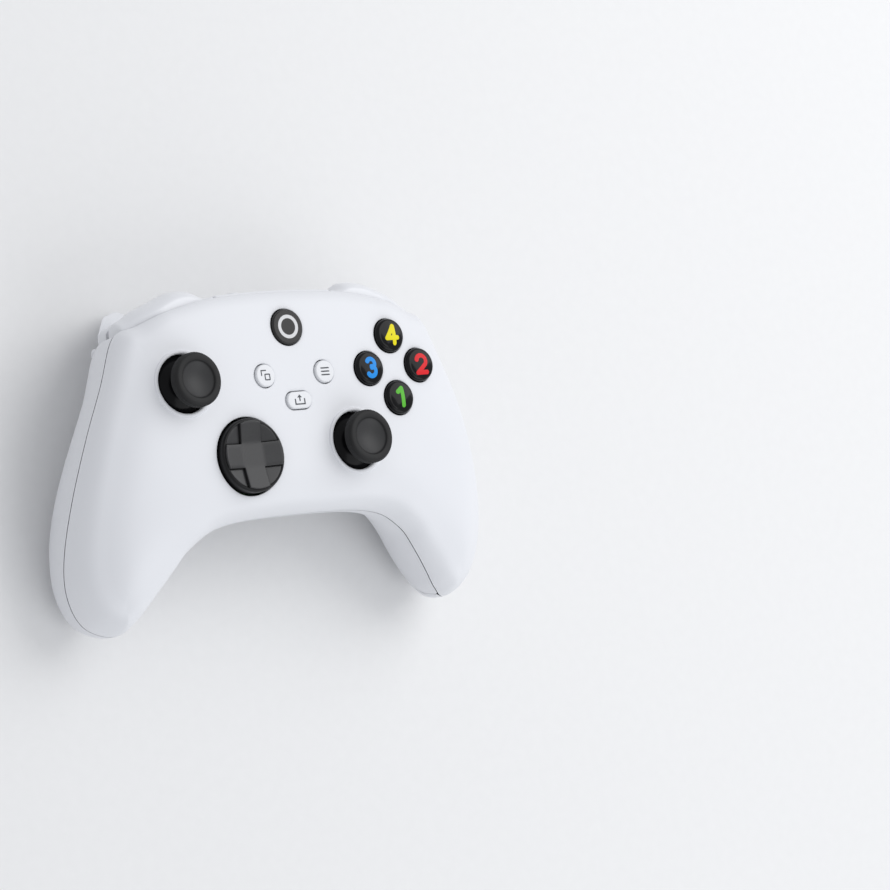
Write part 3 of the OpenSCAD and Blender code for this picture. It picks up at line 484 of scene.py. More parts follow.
def joined(*lines):
    """One closed loop from stretches, without the points that repeat where two stretches meet."""
    p = np.vstack(lines)
    far = np.linalg.norm(p - np.roll(p, 1, axis=0), axis=1) > 0.05
    return p[far]


print("points of a pill:", len(pill_loop((0, 0), 9, 5)))

# %% Measuring in plan


def distance_to(points, loop):
    """Distance of each plan point from a closed loop."""
    p = np.asarray(points, float)[:, :2]
    a = np.asarray(loop, float)
    b = np.roll(a, -1, axis=0)
    out = np.zeros(len(p))
    batch = 3000
    for i in range(0, len(p), batch):
        q = p[i:i + batch, None, :] - a[None]
        d = (b - a)[None]
        t = np.clip((q * d).sum(2) / np.maximum((d * d).sum(2), 1e-12), 0, 1)
        out[i:i + batch] = np.sqrt(((q - t[..., None] * d) ** 2).sum(2)).min(1)
    return out


def inside(points, loop):
    """Whether each plan point lies in a closed loop, by counting crossings."""
    p = np.asarray(points, float)
    a = np.asarray(loop, float)
    b = np.roll(a, -1, axis=0)
    hit = np.zeros(len(p), bool)
    for (x0, y0), (x1, y1) in zip(a, b):
        if y0 == y1:
            continue
        crosses = (y0 > p[:, 1]) != (y1 > p[:, 1])
        hit ^= crosses & (p[:, 0] < (x1 - x0) * (p[:, 1] - y0) / (y1 - y0) + x0)
    return hit


def ease(v, low, high):
    t = np.clip((v - low) / (high - low), 0, 1)
    return t * t * (3 - 2 * t)


def mixed(a, b, m):
    return a + (b - a) * m


print("half way, the blend is", ease(0.5, 0, 1))

# %% [markdown]
# ## The body's shape as a height over its plan
# Both shells are bowls over one outline. The outline is a smooth curve through a few marks, and the height
# of the skin depends on the distance from that outline: a rounded edge that rises from the side seam to a
# crest. Sculpting could give such a body too, but a rule puts both halves, the panels and the door on one
# and the same surface. It is the rule of the solids, only sampled much more finely.

# %% Outline of the body
OUTER = [(0, 26.3), (24, 25.4), (40, 22.3), (50, 18.9), (57.7, 15.8), (63.8, 2),
         (70, -13), (75, -30), (77.5, -46), (76.5, -58), (71.5, -67.5), (63, -71.5)]
INNER = [(0, -42), (12, -42.1), (22, -42.6), (29, -43.6), (34, -45.2), (38.5, -47.8),
         (42.5, -50.8), (46.3, -55.2), (50.3, -59.9), (54, -64.3), (57.6, -68.3), (63, -71.5)]
HALF_W = 77.5
REACH = 71.5
EDGE_STEP = 0.8
# A box in plan that holds the whole outline
PLAN_X = HALF_W + 1.5
PLAN_FRONT = -REACH - 1.5
PLAN_BACK = OUTER[0][1] + 1.7


def outline_loop():
    """The whole outline, once round, starting and ending at the middle of the back edge."""
    right = OUTER + INNER[-2::-1]
    loop = right + [(-x, y) for x, y in right[-2:0:-1]]
    line = spline(loop, 26, closed=True)
    line = line * (HALF_W / np.abs(line[:, 0]).max(), 1)
    return np.column_stack([line[:, 0], np.maximum(line[:, 1], -REACH)])


EDGE = resample(outline_loop(), EDGE_STEP)
print("outline points:", len(EDGE), "length mm:", round(EDGE_STEP * len(EDGE)))

# %% Height of the skins
WALL = 2.2
# The grips run away from the middle in this direction, and bend down after a start
GRIP_WAY = (0.75, -0.66)
BEND_START = 35
SEAM_BEND = 0.0046
FACE_BEND = 0.0036
# The side seam, with a lip that lifts it over the bumpers
SEAM_DEPTH = 9.5
LIP_RISE = 5.5
LIP_IN = 40
LIP_OUT = 60
LIP_Y = 14.0
# Edge rounding of the face, in the middle and on the grips
FACE_ROUND = 11
GRIP_ROUND = 17
FACE_BLEND = (40, 55)
# The rear: a ridge over the battery, shoulders beside it and deep grips
BODY_DEPTH = 38.5
RIDGE_Y = 4
RIDGE_W = 25
RIDGE_FALL = 14
SHOULDER_DEPTH = 31
GRIP_EXTRA = 0.24
ARCH_ROUND = 9
BACK_ROUND = 4
REAR_ROUND = 16
ARCH_POWER = 2.1
REAR_POWER = 2.4
# Where these pass into one another, sideways, and along the grips for their depth
REAR_BLEND = (26, 40)
SHOULDER_BLEND = (27, 45)
GRIP_BLEND = (45, 85)


def along_grip(p):
    return GRIP_WAY[0] * np.abs(p[:, 0]) + GRIP_WAY[1] * p[:, 1]


def fall(p):
    return np.maximum(0, along_grip(p) - BEND_START) ** 2


def seam_z(p):
    lip = LIP_RISE * (1 - ease(np.abs(p[:, 0]), LIP_IN, LIP_OUT)) * ease(p[:, 1], 0, LIP_Y)
    return -SEAM_DEPTH - SEAM_BEND * fall(p) + lip


def rounded(q, power):
    return (1 - (1 - np.clip(q, 0, 1)) ** power) ** (1 / power)


def front_z(p, d, inset=0.0):
    radius = mixed(FACE_ROUND, GRIP_ROUND, ease(np.abs(p[:, 0]), *FACE_BLEND))
    crest = -FACE_BEND * fall(p) - inset
    s = seam_z(p)
    return s + (crest - s) * rounded((d - inset) / (radius - inset), 2.0)


def ridge(y):
    q = (y - RIDGE_Y) / RIDGE_W
    return -BODY_DEPTH + RIDGE_FALL * q * q / (1 + q * q)


def rear_z(p, d, inset=0.0):
    x = np.abs(p[:, 0])
    tight = ease(x, *REAR_BLEND)
    radius = mixed(mixed(ARCH_ROUND, BACK_ROUND, ease(p[:, 1], 0, LIP_Y)), REAR_ROUND, tight)
    power = mixed(ARCH_POWER, REAR_POWER, tight)
    grip = mixed(SHOULDER_DEPTH, FACE_Z + GRIP_EXTRA, ease(along_grip(p), *GRIP_BLEND))
    crest = mixed(ridge(p[:, 1]), -grip, ease(x, *SHOULDER_BLEND)) + inset
    s = seam_z(p)
    return np.maximum(s + (crest - s) * rounded((d - inset) / (radius - inset), power), -FACE_Z)


print("deepest at the ridge mm:", ridge(RIDGE_Y))

# %% [markdown]
# ## Softer creases
# Where the slopes of two sides meet, the rule leaves a crease that no moulding has. A bevel can't reach it,
# because it lies inside the skin. So the heights are put on a grid and averaged with their neighbours a few
# times, and this softer height takes over away from the edge.

# %% Softened heights
SOFT_STEP = 1.2
SOFT_ROUNDS = 26
SOFT_FROM = 2
SOFT_FULL = 8


def softened(height):
    """The same height, with the creases rounded where the slopes of two sides meet."""
    xs = np.arange(-PLAN_X, PLAN_X + 0.1, SOFT_STEP)
    ys = np.arange(PLAN_FRONT, PLAN_BACK, SOFT_STEP)
    gx, gy = np.meshgrid(xs, ys)
    plan = np.column_stack([gx.ravel(), gy.ravel()])
    within = inside(plan, EDGE)
    z = np.zeros(len(plan))
    z[within] = height(plan[within], distance_to(plan[within], EDGE))
    z = z.reshape(gx.shape)
    mask = within.reshape(gx.shape).astype(float)
    shifts = ((0, 0), (1, 0), (-1, 0), (0, 1), (0, -1))
    for _ in range(SOFT_ROUNDS):
        total = sum(np.roll(z * mask, s, (0, 1)) for s in shifts)
        count = sum(np.roll(mask, s, (0, 1)) for s in shifts)
        z = np.where(mask > 0, total / np.maximum(count, 1), z)

    def soft(p, d, inset=0.0):
        exact = height(p, d, inset)
        if inset:
            return exact
        u = np.clip((p[:, 0] - xs[0]) / SOFT_STEP, 0, len(xs) - 2)
        v = np.clip((p[:, 1] - ys[0]) / SOFT_STEP, 0, len(ys) - 2)
        i, j = u.astype(int), v.astype(int)
        low = mixed(z[j, i], z[j, i + 1], u - i)
        high = mixed(z[j + 1, i], z[j + 1, i + 1], u - i)
        return mixed(exact, mixed(low, high, v - j), ease(d, SOFT_FROM, SOFT_FULL))

    return soft


soft_front_z = softened(front_z)
soft_rear_z = softened(rear_z)
print("creases softened over mm:", round(SOFT_STEP * SOFT_ROUNDS**0.5, 1))

# %% [markdown]
# ## Cutting a skin out of a plan region
# A moulding is made in three steps. First its region of the plan is filled with points, close together
# along the body's edge, where the surface turns quickly. A constrained Delaunay triangulation joins them
# and keeps the region's loops as edges. Last, an inner sheet one wall below closes it to a real shell,
# and each hole gets its own turned edge: a small rounding, or the raised ring of a stick.

# %% Points that fill the plan
RINGS = (0.12, 0.3, 0.55, 0.9, 1.35, 1.9, 2.6, 3.4, 4.4, 5.6, 7.0, 8.6, 10.4, 12.4)
GRID = 1.35


def ring_points(line, far):
    """The outline moved inwards by far, without the places where it would fold over itself."""
    step = np.roll(line, -1, axis=0) - np.roll(line, 1, axis=0)
    normal = np.column_stack([step[:, 1], -step[:, 0]]) / np.linalg.norm(step, axis=1)[:, None]
    for sign in (1, -1):
        moved = line + sign * far * normal
        if inside(moved[:40], line).mean() > 0.5:
            return moved[distance_to(moved, line) > 0.97 * far]
    return moved[:0]


def fill_points():
    xs = np.arange(1 - PLAN_X, PLAN_X - 0.9, GRID)
    ys = np.arange(1 + PLAN_FRONT, PLAN_BACK, GRID * 0.87)
    grid = np.array([(x + (GRID / 2 if k % 2 else 0), y) for k, y in enumerate(ys) for x in xs])
    grid = grid[inside(grid, EDGE)]
    grid = grid[distance_to(grid, EDGE) > RINGS[-1] + 0.8]
    return np.vstack([ring_points(EDGE, r) for r in RINGS] + [grid])


FILL = fill_points()
print("fill points:", len(FILL))

# %% Triangles of a region


def triangulate(loops, extra):
    """Triangles of a region: loops are closed plan lines, the first one outside, the rest holes."""
    points = [Vector(p) for loop in loops for p in loop] + [Vector(p) for p in extra]
    edges = []
    start = 0
    for loop in loops:
        n = len(loop)
        edges += [(start + i, start + (i + 1) % n) for i in range(n)]
        start += n
    out = delaunay_2d_cdt(points, edges, [], 0, 1e-5)
    verts = np.array([(v.x, v.y) for v in out[0]])
    tris = np.array(out[2])
    mid = verts[tris].mean(1)
    keep = inside(mid, loops[0])
    for hole in loops[1:]:
        keep &= ~inside(mid, hole)
    home = {}
    for new, olds in enumerate(out[3]):
        for old in olds:
            home[old] = new
    return verts, tris[keep], home


square = np.array([(0, 0), (1, 0), (1, 1), (0, 1)], float)
print("triangles of a square:", len(triangulate([square], [])[1]))

# %% Skins
RIM = 0.06
RIM_BLEND = 7


def drawn_in(p, d):
    """Plan points moved inwards near the body's edge, so that the inner sheet keeps the wall there."""
    h = 0.05
    gx = (distance_to(p + [h, 0], EDGE) - distance_to(p - [h, 0], EDGE)) / (2 * h)
    gy = (distance_to(p + [0, h], EDGE) - distance_to(p - [0, h], EDGE)) / (2 * h)
    size = np.maximum(np.hypot(gx, gy), 0.3)
    shift = np.where(d < RIM, 0, WALL * (1 - ease(d, 0, RIM_BLEND)))
    return p + np.column_stack([gx / size, gy / size]) * shift[:, None]


def skin(region, holes, height, lift):
    """A closed shell over a region. holes: (loop, edge) with edge a list of (grow, rise) steps that lead
    from the surface into the hole. lift parts the rims at the side seam."""
    loops = [np.asarray(region, float)] + [np.asarray(h[0], float) for h in holes]
    extra = FILL[inside(FILL, loops[0])]
    for k, loop in enumerate(loops):
        # Points crowd towards the region's own lines and stay clear of its holes
        extra = extra[distance_to(extra, loop) > (0.1 if k == 0 else 0.35)]
        if k:
            extra = extra[~inside(extra, loop)]
    verts, tris, home = triangulate(loops, extra)
    d = distance_to(verts, EDGE)
    top = np.column_stack([verts, height(verts, d)])
    on_rim = d < RIM
    top[on_rim, 2] += lift
    plan = drawn_in(verts, d)
    d_in = distance_to(plan, EDGE)
    under = np.column_stack([plan, height(plan, np.maximum(d_in, WALL), WALL)])
    under[on_rim, 2] = top[on_rim, 2]
    soup = Soup()
    t0 = soup.add(top, tris)
    u0 = soup.add(under, tris[:, ::-1])
    start = 0
    for k, loop in enumerate(loops):
        ids = [home[start + i] for i in range(len(loop))]
        start += len(loop)
        last = [t0 + i for i in ids]
        low = [u0 + i for i in ids]
        if k:
            centre = loop.mean(0)
            out = loop - centre
            out = out / np.linalg.norm(out, axis=1)[:, None]
            for grow, rise in holes[k - 1][1]:
                ring = np.column_stack([loop + out * grow, top[ids, 2] + rise])
                r0 = soup.add(ring, [])
                step = list(range(r0, r0 + len(loop)))
                soup.strip(last, step)
                last = step
        soup.strip(last, low)
    return soup


print("wall mm:", WALL)

# %% [markdown]
# ## Openings across a piece
# Holes in the plan are part of a skin. What runs through a piece in another direction, such as the headset
# socket or the bore of a pin, is cut afterwards with a boolean: a bar or a prism is taken away, and the
# result is made a plain mesh.

# %% Cutters


def prism(plan, z0, z1):
    """An upright prism over a plan outline."""
    return loft([[(x, y, z) for x, y in plan] for z in (z0, z1)])


def bar(start, end, radius):
    """A round bar between two points, along X or Y."""
    turn = np.linspace(0, 2 * math.pi, 48, endpoint=False)
    along_x = start[0] != end[0]
    sections = []
    for x, y, z in (start, end):
        ring = [(radius * math.cos(a), radius * math.sin(a)) for a in turn]
        sections.append([(x, y + u, z + v) if along_x else (x + u, y, z + v) for u, v in ring])
    return loft(sections)


def cut_away(obj, cutters):
    """Difference of an object and a few solids, turned into a plain mesh."""
    tools = []
    for k, (points, faces) in enumerate(cutters):
        tool = make_piece("cutter_%d" % k, points, faces, obj.data.materials[0])
        cut = obj.modifiers.new("cut", "BOOLEAN")
        cut.operation = "DIFFERENCE"
        cut.solver = "MANIFOLD"
        cut.object = tool
        tools.append(tool)
    view = bpy.context.evaluated_depsgraph_get()
    mesh = bpy.data.meshes.new_from_object(obj.evaluated_get(view))
    obj.modifiers.clear()
    obj.data = mesh
    for tool in tools:
        bpy.data.objects.remove(tool)
    mesh.shade_smooth()
    mesh.set_sharp_from_angle(angle=math.radians(40))
    print(obj.name, "cut by", len(cutters))


print("corners of a bar:", len(bar((0, 0, 0), (1, 0, 0), 1)[0]))

# %% [markdown]
# ## Front shell
# The front moulding carries all the openings of the face. Each hole is a loop in the plan, and its edge
# leads from the face into the wall: the sticks get the bright raised ring that stops the stem, the other
# holes a small rounding. The places are the same as in the solids.

# %% Places on the face
LEFT_STICK = (-40.6, -0.6)
RIGHT_STICK = (19.6, -22.0)
DPAD = (-21.1, -24.0)
ACTION_MIDDLE = (38.35, 0.0)
ACTION_PITCH = 9.86
ACTION_D = 10.6
HOME = (0.0, 14.6)
HOME_D = 11.1
SMALL_X = 11.2
SMALL_D = 7.0
SHARE = (0.0, -8.25)
SHARE_L = 9.2
SHARE_W = 5.3
BUTTON_GAP = 0.3
STICK_HOLE = 20.0
RING_W = 0.4
DPAD_HOLE = 24.0
action_places = {
    "action_bottom": (ACTION_MIDDLE[0], -ACTION_PITCH),
    "action_right": (ACTION_MIDDLE[0] + ACTION_PITCH, 0.0),
    "action_left": (ACTION_MIDDLE[0] - ACTION_PITCH, 0.0),
    "action_top": (ACTION_MIDDLE[0], ACTION_PITCH)}
print("action buttons:", len(action_places), "pitch mm:", ACTION_PITCH)

# %% Front shell
# Steps from the skin into a hole, each outwards and up: a small rounding, and the raised ring of a stick
EASED = [(-0.1, -0.03), (-0.18, -0.1), (-0.22, -0.24), (-0.22, -1.6)]
RING = [(0.0, 0.1), (-0.06, 0.3), (-0.22, 0.46), (-0.5, 0.55), (-0.85, 0.52), (-1.12, 0.38), (-1.26, 0.12),
        (-1.3, -0.3), (-1.3, -1.4)]
EASED_BY = 0.22
SEAM_LIFT = 0.15


def face_holes():
    """The openings of the face, each with the edge that leads into it."""
    holes = [(plan_circle(p, STICK_HOLE / 2 + RING_W, 128), RING) for p in (LEFT_STICK, RIGHT_STICK)]
    holes.append((plan_circle(DPAD, DPAD_HOLE / 2 + EASED_BY, 128), EASED))
    for p in action_places.values():
        holes.append((plan_circle(p, ACTION_D / 2 + BUTTON_GAP + EASED_BY, 88), EASED))
    holes.append((plan_circle(HOME, HOME_D / 2 + BUTTON_GAP + EASED_BY, 88), EASED))
    for s in (-1, 1):
        holes.append((plan_circle((s * SMALL_X, 0), SMALL_D / 2 + BUTTON_GAP + EASED_BY, 64), EASED))
    grow = 2 * (BUTTON_GAP + EASED_BY)
    holes.append((pill_loop(SHARE, SHARE_L + grow, SHARE_W + grow), EASED))
    return holes


front = skin(EDGE, face_holes(), soft_front_z, SEAM_LIFT)
front_shell = make_piece("front_shell_skin", front.points, front.faces, face_white, 40)
settle(front_shell, "case", "face_white", "front_shell")

# %% [markdown]
# ## Rear shell and grip panels
# Behind, the bowl is split in plan. A seam runs down each grip, and what lies outside it is a separate
# side panel with its own texture. The rear shell keeps the middle, and is open for the battery door and
# for the triggers. A gap of a few tenths of a millimetre along these lines makes the dark seam. A painted
# line would be quicker, but it would not catch the light as two edges do.

# %% Seams and openings of the rear
PANEL = [(43, 7.6), (45, -12), (49, -32), (53.5, -50), (58.5, -66), (61, -72.5)]
PANEL_SLIT = 0.12
POCKET_IN = 30.2
POCKET_Y = 8.5
POCKET_CORNER = 3.0
POCKET_END = 24.7
POCKET_TURN = (48.4, POCKET_Y)
POCKET_OUT = (56.2, 16.3)
DOOR_HALF = 26.5
DOOR_FRONT = -20.0
DOOR_CORNER = 4.0
DOOR_GAP = 0.3
DOOR_END = 25.05


def side_of_edge(start, end):
    """The stretch of the body's right-hand edge between two plan points, in running order."""
    i = int(np.argmin(np.hypot(*(EDGE - start).T)))
    j = int(np.argmin(np.hypot(*(EDGE - end).T)))
    return EDGE[i:j + 1] if i <= j else EDGE[j:i + 1][::-1]


def seam_end(shift):
    """Where the panel seam, moved sideways by a shift, meets the body's edge at the grip tip."""
    line = resample(spline(PANEL, 12), 0.02, closed=False) + [shift, 0]
    return line[inside(line, EDGE)][-1]


seam_line = resample(spline(PANEL, 12), 0.8, closed=False)
arch_tip = seam_end(-PANEL_SLIT)
side_tip = seam_end(PANEL_SLIT)
seam_in = seam_line[(seam_line[:, 1] < POCKET_Y - 0.2) & (seam_line[:, 1] > arch_tip[1] + 0.3)]
print("panel seam mm:", round(0.8 * len(seam_line)))

# %% Rear shell and grip panels
JACK_Z = -19.0
JACK_HOLE = 3.9
SLOT = (0.0, -29.5)
SLOT_L = 8.4
SLOT_W = 1.7
SLOT_EDGE = [(-0.08, 0.06), (-0.15, 0.3), (-0.15, 1.4)]


def rear_region():
    """Plan of the rear shell: the arch, the panel seams, the trigger openings and the door's edge."""
    s = seam_in - [PANEL_SLIT, 0]
    arch = np.vstack([side_of_edge(INNER[0], arch_tip + [-0.5, 0.4]), [arch_tip]])
    turn = (POCKET_IN + POCKET_CORNER, POCKET_Y + POCKET_CORNER)
    pocket = np.vstack([straight((s[0, 0], POCKET_Y), (turn[0], POCKET_Y)),
                        arc(turn, POCKET_CORNER, -90, -180),
                        straight((POCKET_IN, turn[1]), (POCKET_IN, POCKET_END))])
    side = DOOR_HALF + DOOR_GAP
    front = DOOR_FRONT - DOOR_GAP
    turn = (DOOR_HALF - DOOR_CORNER, DOOR_FRONT + DOOR_CORNER)
    door = np.vstack([straight((side, DOOR_END), (side, turn[1])),
                      arc(turn, DOOR_CORNER + DOOR_GAP, 0, -90),
                      straight((turn[0], front), (0, front))])
    right = np.vstack([arch, s[::-1], pocket, door])
    left = mirrored(right)[::-1]
    return joined(right, left)


def panel_region(side):
    """Plan of a grip panel: the trigger opening, the outer edge of the body and the seam."""
    s = seam_in + [PANEL_SLIT, 0]
    pocket = np.vstack([straight((s[0, 0], POCKET_Y), POCKET_TURN), straight(POCKET_TURN, POCKET_OUT)])
    top = EDGE[np.argmin(np.hypot(*(EDGE - [POCKET_OUT[0] + 0.5, POCKET_OUT[1]]).T))]
    outer = np.vstack([side_of_edge(top, side_tip + [0.5, -0.4]), [side_tip]])
    loop = joined(pocket, outer, s[::-1])
    return loop if side > 0 else mirrored(loop)[::-1]


slot_hole = (pill_loop(SLOT, SLOT_L, SLOT_W, 48), SLOT_EDGE)
rear = skin(rear_region(), [slot_hole], soft_rear_z, -SEAM_LIFT)
rear_shell = make_piece("rear_shell_skin", rear.points, rear.faces, back_white, 40)
# The headset socket looks out of the arch through a round hole
jack_front = (0, INNER[0][1] - 18, JACK_Z)
jack_back = (0, INNER[0][1] + 9, JACK_Z)
cut_away(rear_shell, [bar(jack_front, jack_back, JACK_HOLE)])
settle(rear_shell, "case", "back_white", "rear_shell")
for side, word in SIDES:
    panel = skin(panel_region(side), [], soft_rear_z, -SEAM_LIFT)
    piece = make_piece(word + "_grip_skin", panel.points, panel.faces, grip_white, 40)
    settle(piece, "case", "grip_white", word + "_grip_panel")

# %% [markdown]
# ## Collars
# A rounded bead stands round each trigger opening, where the shell folds inwards. The skin could carry it as
# a ring, as it does round the sticks, but the opening runs out into the back edge. So the bead is a tube of
# its own that follows the opening on the skin, half sunk into it.

# %% Collars of the trigger openings
BEAD_R = 0.95
BEAD_SHIFT = 0.75
BEAD_START = 23.2
BEAD_LIFT = 0.3
BEAD_TURN = 3.4


def tube(path, radius):
    """A round tube along points in space, drawn to a tip at both ends."""
    p = np.asarray(path, float)
    ahead = np.gradient(p, axis=0)
    ahead /= np.linalg.norm(ahead, axis=1)[:, None]
    first = np.cross(ahead, [0, 0, 1.0])
    first /= np.linalg.norm(first, axis=1)[:, None]
    second = np.cross(first, ahead)
    turn = np.linspace(0, 2 * math.pi, 14, endpoint=False)
    run = run_along(p)
    near = np.clip(np.minimum(run, run[-1] - run) / radius, 0.05, 1)
    size = radius * np.sqrt(1 - (1 - near) ** 2)
    rings = [p[i] + size[i] * (np.outer(np.cos(turn), first[i]) + np.outer(np.sin(turn), second[i]))
             for i in range(len(p))]
    return loft(rings)


def collar_path():
    """The line of the bead round the right-hand trigger opening, on the skin."""
    inner = POCKET_IN - BEAD_SHIFT
    low = POCKET_Y - BEAD_SHIFT
    corner = (POCKET_IN + POCKET_CORNER, POCKET_Y + POCKET_CORNER)
    turn = (POCKET_TURN[0] - 1, low + BEAD_TURN)
    slant = ((POCKET_TURN[0] + 2.2, POCKET_Y + 1.0), (POCKET_OUT[0] + 0.2, POCKET_OUT[1] - 1.6))
    plan = np.vstack([straight((inner, BEAD_START), (inner, corner[1])),
                      arc(corner, POCKET_CORNER + BEAD_SHIFT, 180, 270, 14),
                      straight((corner[0], low), (turn[0], low)),
                      arc(turn, BEAD_TURN, -90, -45, 8),
                      straight(*slant)])
    plan = resample(plan, 0.5, closed=False)
    return np.column_stack([plan, soft_rear_z(plan, distance_to(plan, EDGE)) + BEAD_LIFT])


for side, word in SIDES:
    points, faces = tube(collar_path(), BEAD_R)
    bead = make_piece(word + "_trigger_collar", sided(points, side), faces, back_white, 60)
    settle(bead, "case", "back_white")

# %% [markdown]
# ## Plates with rounded edges
# The battery door, the strip with the charging slot and some buttons are plates: a face with a rounded
# edge, holes, and a flat back. One function builds them all from plan loops. It asks `place` where a plan
# point at some depth below the face lies, so the same plate can be flat, bent or wrapped over a ridge.

# %% Plates


def moved_loop(loop, far):
    """A closed loop moved inwards by far, or outwards where far is negative."""
    p = np.asarray(loop, float)
    ahead = np.roll(p, -1, axis=0)
    step = ahead - np.roll(p, 1, axis=0)
    normal = np.column_stack([-step[:, 1], step[:, 0]]) / np.linalg.norm(step, axis=1)[:, None]
    turns_left = (p[:, 0] * ahead[:, 1] - ahead[:, 0] * p[:, 1]).sum() > 0
    return p + normal * (far if turns_left else -far)


def grid_in(loops, spacing):
    """Even points inside the first loop and outside the others, clear of their lines."""
    low = loops[0].min(0)
    high = loops[0].max(0)
    xs = np.arange(low[0], high[0], spacing)
    ys = np.arange(low[1], high[1], spacing)
    grid = np.array([(x, y) for x in xs for y in ys])
    for k, loop in enumerate(loops):
        grid = grid[inside(grid, loop) if k == 0 else ~inside(grid, loop)]
        grid = grid[distance_to(grid, loop) > 0.45 * spacing]
    return grid


def plate(outer, holes, place, depth, edge, hole_edge=0.12, spacing=1.0):
    """A closed plate from plan loops: a face with rounded edges, walls, and a back at a depth."""
    rims = [np.asarray(loop, float) for loop in [outer] + holes]
    radii = [edge] + [hole_edge] * len(holes)
    face = [moved_loop(rim, r if k == 0 else -r) for k, (rim, r) in enumerate(zip(rims, radii))]
    soup = Soup()
    verts, tris, home = triangulate(face, grid_in(face, spacing))
    f0 = soup.add(place(verts, np.zeros(len(verts))), tris)
    back, back_tris, back_home = triangulate(rims, grid_in(rims, spacing))
    b0 = soup.add(place(back, np.full(len(back), depth)), back_tris[:, ::-1])
    start = 0
    for k, rim in enumerate(rims):
        ids = range(start, start + len(rim))
        start += len(rim)
        last = [f0 + home[i] for i in ids]
        for turn in np.radians([22.5, 45, 67.5, 90]):
            inset = radii[k] * (1 - math.sin(turn)) * (1 if k == 0 else -1)
            fall_in = np.full(len(rim), radii[k] * (1 - math.cos(turn)))
            r0 = soup.add(place(moved_loop(rim, inset), fall_in), [])
            ring = list(range(r0, r0 + len(rim)))
            soup.strip(last, ring)
            last = ring
        soup.strip(last, [b0 + back_home[i] for i in ids])
    return soup


def box_loop(x0, x1, y0, y1, low_r, high_r, spacing=1.0):
    """A rectangle with rounded corners, low_r at y0 and high_r at y1."""
    parts = []
    corners = ((x1, y0, low_r, -90), (x1, y1, high_r, 0), (x0, y1, high_r, 90), (x0, y0, low_r, 180))
    for cx, cy, r, a in corners:
        centre = (cx - r if cx == x1 else cx + r, cy + r if cy == y0 else cy - r)
        parts.append(arc(centre, r, a, a + 90, 10))
    loop = []
    for part, follower in zip(parts, parts[1:] + parts[:1]):
        loop += [part, straight(part[-1], follower[0], spacing)]
    return joined(*loop)


def laid(centre, height):
    """A place for a plate on the face: its middle in plan, and its height over the plan."""
    return lambda plan, depth: np.column_stack([plan + np.array(centre), height(plan) - depth])


print("points of a rounded square of 10 mm:", len(box_loop(0, 10, 0, 10, 1, 1)))

# %% [markdown]
# ## Battery door
# The door is a bent sheet: it starts in the middle of the rear, runs over the ridge and turns up to the
# back edge. Seen from above, its steep back would be a thin line with hardly a point on it. So its plan is
# drawn on the unrolled sheet, across and along, and wrapped over the profile of the rear.

# %% Battery door
DOOR_BACK = 26.25
DOOR_TOP = -16.6
DOOR_T = 1.8
DOOR_EDGE = 0.3


def door_profile():
    """Profile of the rear in the middle, from the door's front to the back edge."""
    y = DOOR_FRONT + (DOOR_BACK - DOOR_FRONT) * np.sin(np.linspace(0, math.pi / 2, 240))
    p = np.column_stack([np.zeros(len(y)), y])
    z = soft_rear_z(p, distance_to(p, EDGE))
    line = np.column_stack([y, z])[z < DOOR_TOP - 0.3]
    return resample(np.vstack([line, [(DOOR_BACK, DOOR_TOP)]]), 0.3, closed=False)


door_line = door_profile()
door_run = run_along(door_line)
door_step = np.gradient(door_line, axis=0)
door_out = np.column_stack([door_step[:, 1], -door_step[:, 0]])
door_out /= np.linalg.norm(door_out, axis=1)[:, None]


def on_door(plan, depth):
    at = np.column_stack([np.interp(plan[:, 1], door_run, door_line[:, k]) for k in (0, 1)])
    out = np.column_stack([np.interp(plan[:, 1], door_run, door_out[:, k]) for k in (0, 1)])
    at = at - out * depth[:, None]
    return np.column_stack([plan[:, 0], at])


door_loop = box_loop(-DOOR_HALF, DOOR_HALF, 0.0, door_run[-1], DOOR_CORNER, 0.6)
door = plate(door_loop, [], on_door, DOOR_T, DOOR_EDGE)
battery_door = make_piece("battery_door_skin", door.points, door.faces, back_white, 40)
settle(battery_door, "battery_door_body", "back_white", "battery_door")

# %% [markdown]
# ## Back edge
# Three mouldings close the back edge between the shells: the strip with the charging slot and the pairing
# button in the middle, and a bumper on each side. The strip is a plate that stands upright: its plan is drawn
# across and up, and it is bent along the outline.

# %% Strip with the charging slot
CAP_HALF = 21.9
CAP_LOW = -16.0
CAP_TOP = -4.3
CAP_PROUD = 0.7
CAP_INNER = 23.0
USB_Z = -11.6
USB_L = 9.2
USB_W = 3.5
PAIR = (-12.5, -8.2)
PAIR_D = 4.0
back_line = EDGE[(EDGE[:, 1] > 18) & (EDGE[:, 0] > -1)]
back_line = back_line[np.argsort(back_line[:, 0])]


def back_y(x):
    return np.interp(np.abs(x), back_line[:, 0], back_line[:, 1])


def on_cap(plan, depth):
    y = np.maximum(back_y(plan[:, 0]) + CAP_PROUD - depth, CAP_INNER)
    return np.column_stack([plan[:, 0], y, plan[:, 1]])


cap_loop = box_loop(-CAP_HALF, CAP_HALF, CAP_LOW, CAP_TOP, 0.5, 0.9)
usb_loop = pill_loop((0, USB_Z), USB_L + 2 * BUTTON_GAP, USB_W + 2 * BUTTON_GAP)
pair_loop = plan_circle(PAIR, PAIR_D / 2 + BUTTON_GAP, 48)
cap = plate(cap_loop, [usb_loop, pair_loop], on_cap, 6.0, 0.45)
top_cap = make_piece("back_strip", cap.points, cap.faces, edge_white, 40)
settle(top_cap, "case", "edge_white", "top_cap")

# %% [markdown]
# ## Bumpers
# A bumper is a loft: one section across it, repeated along its length while the crest bulges and then draws
# back towards the outer side. A bent and bevelled bar would come close, but the section also changes, from
# square next to the strip to round. The ends are rounded by letting the section shrink.

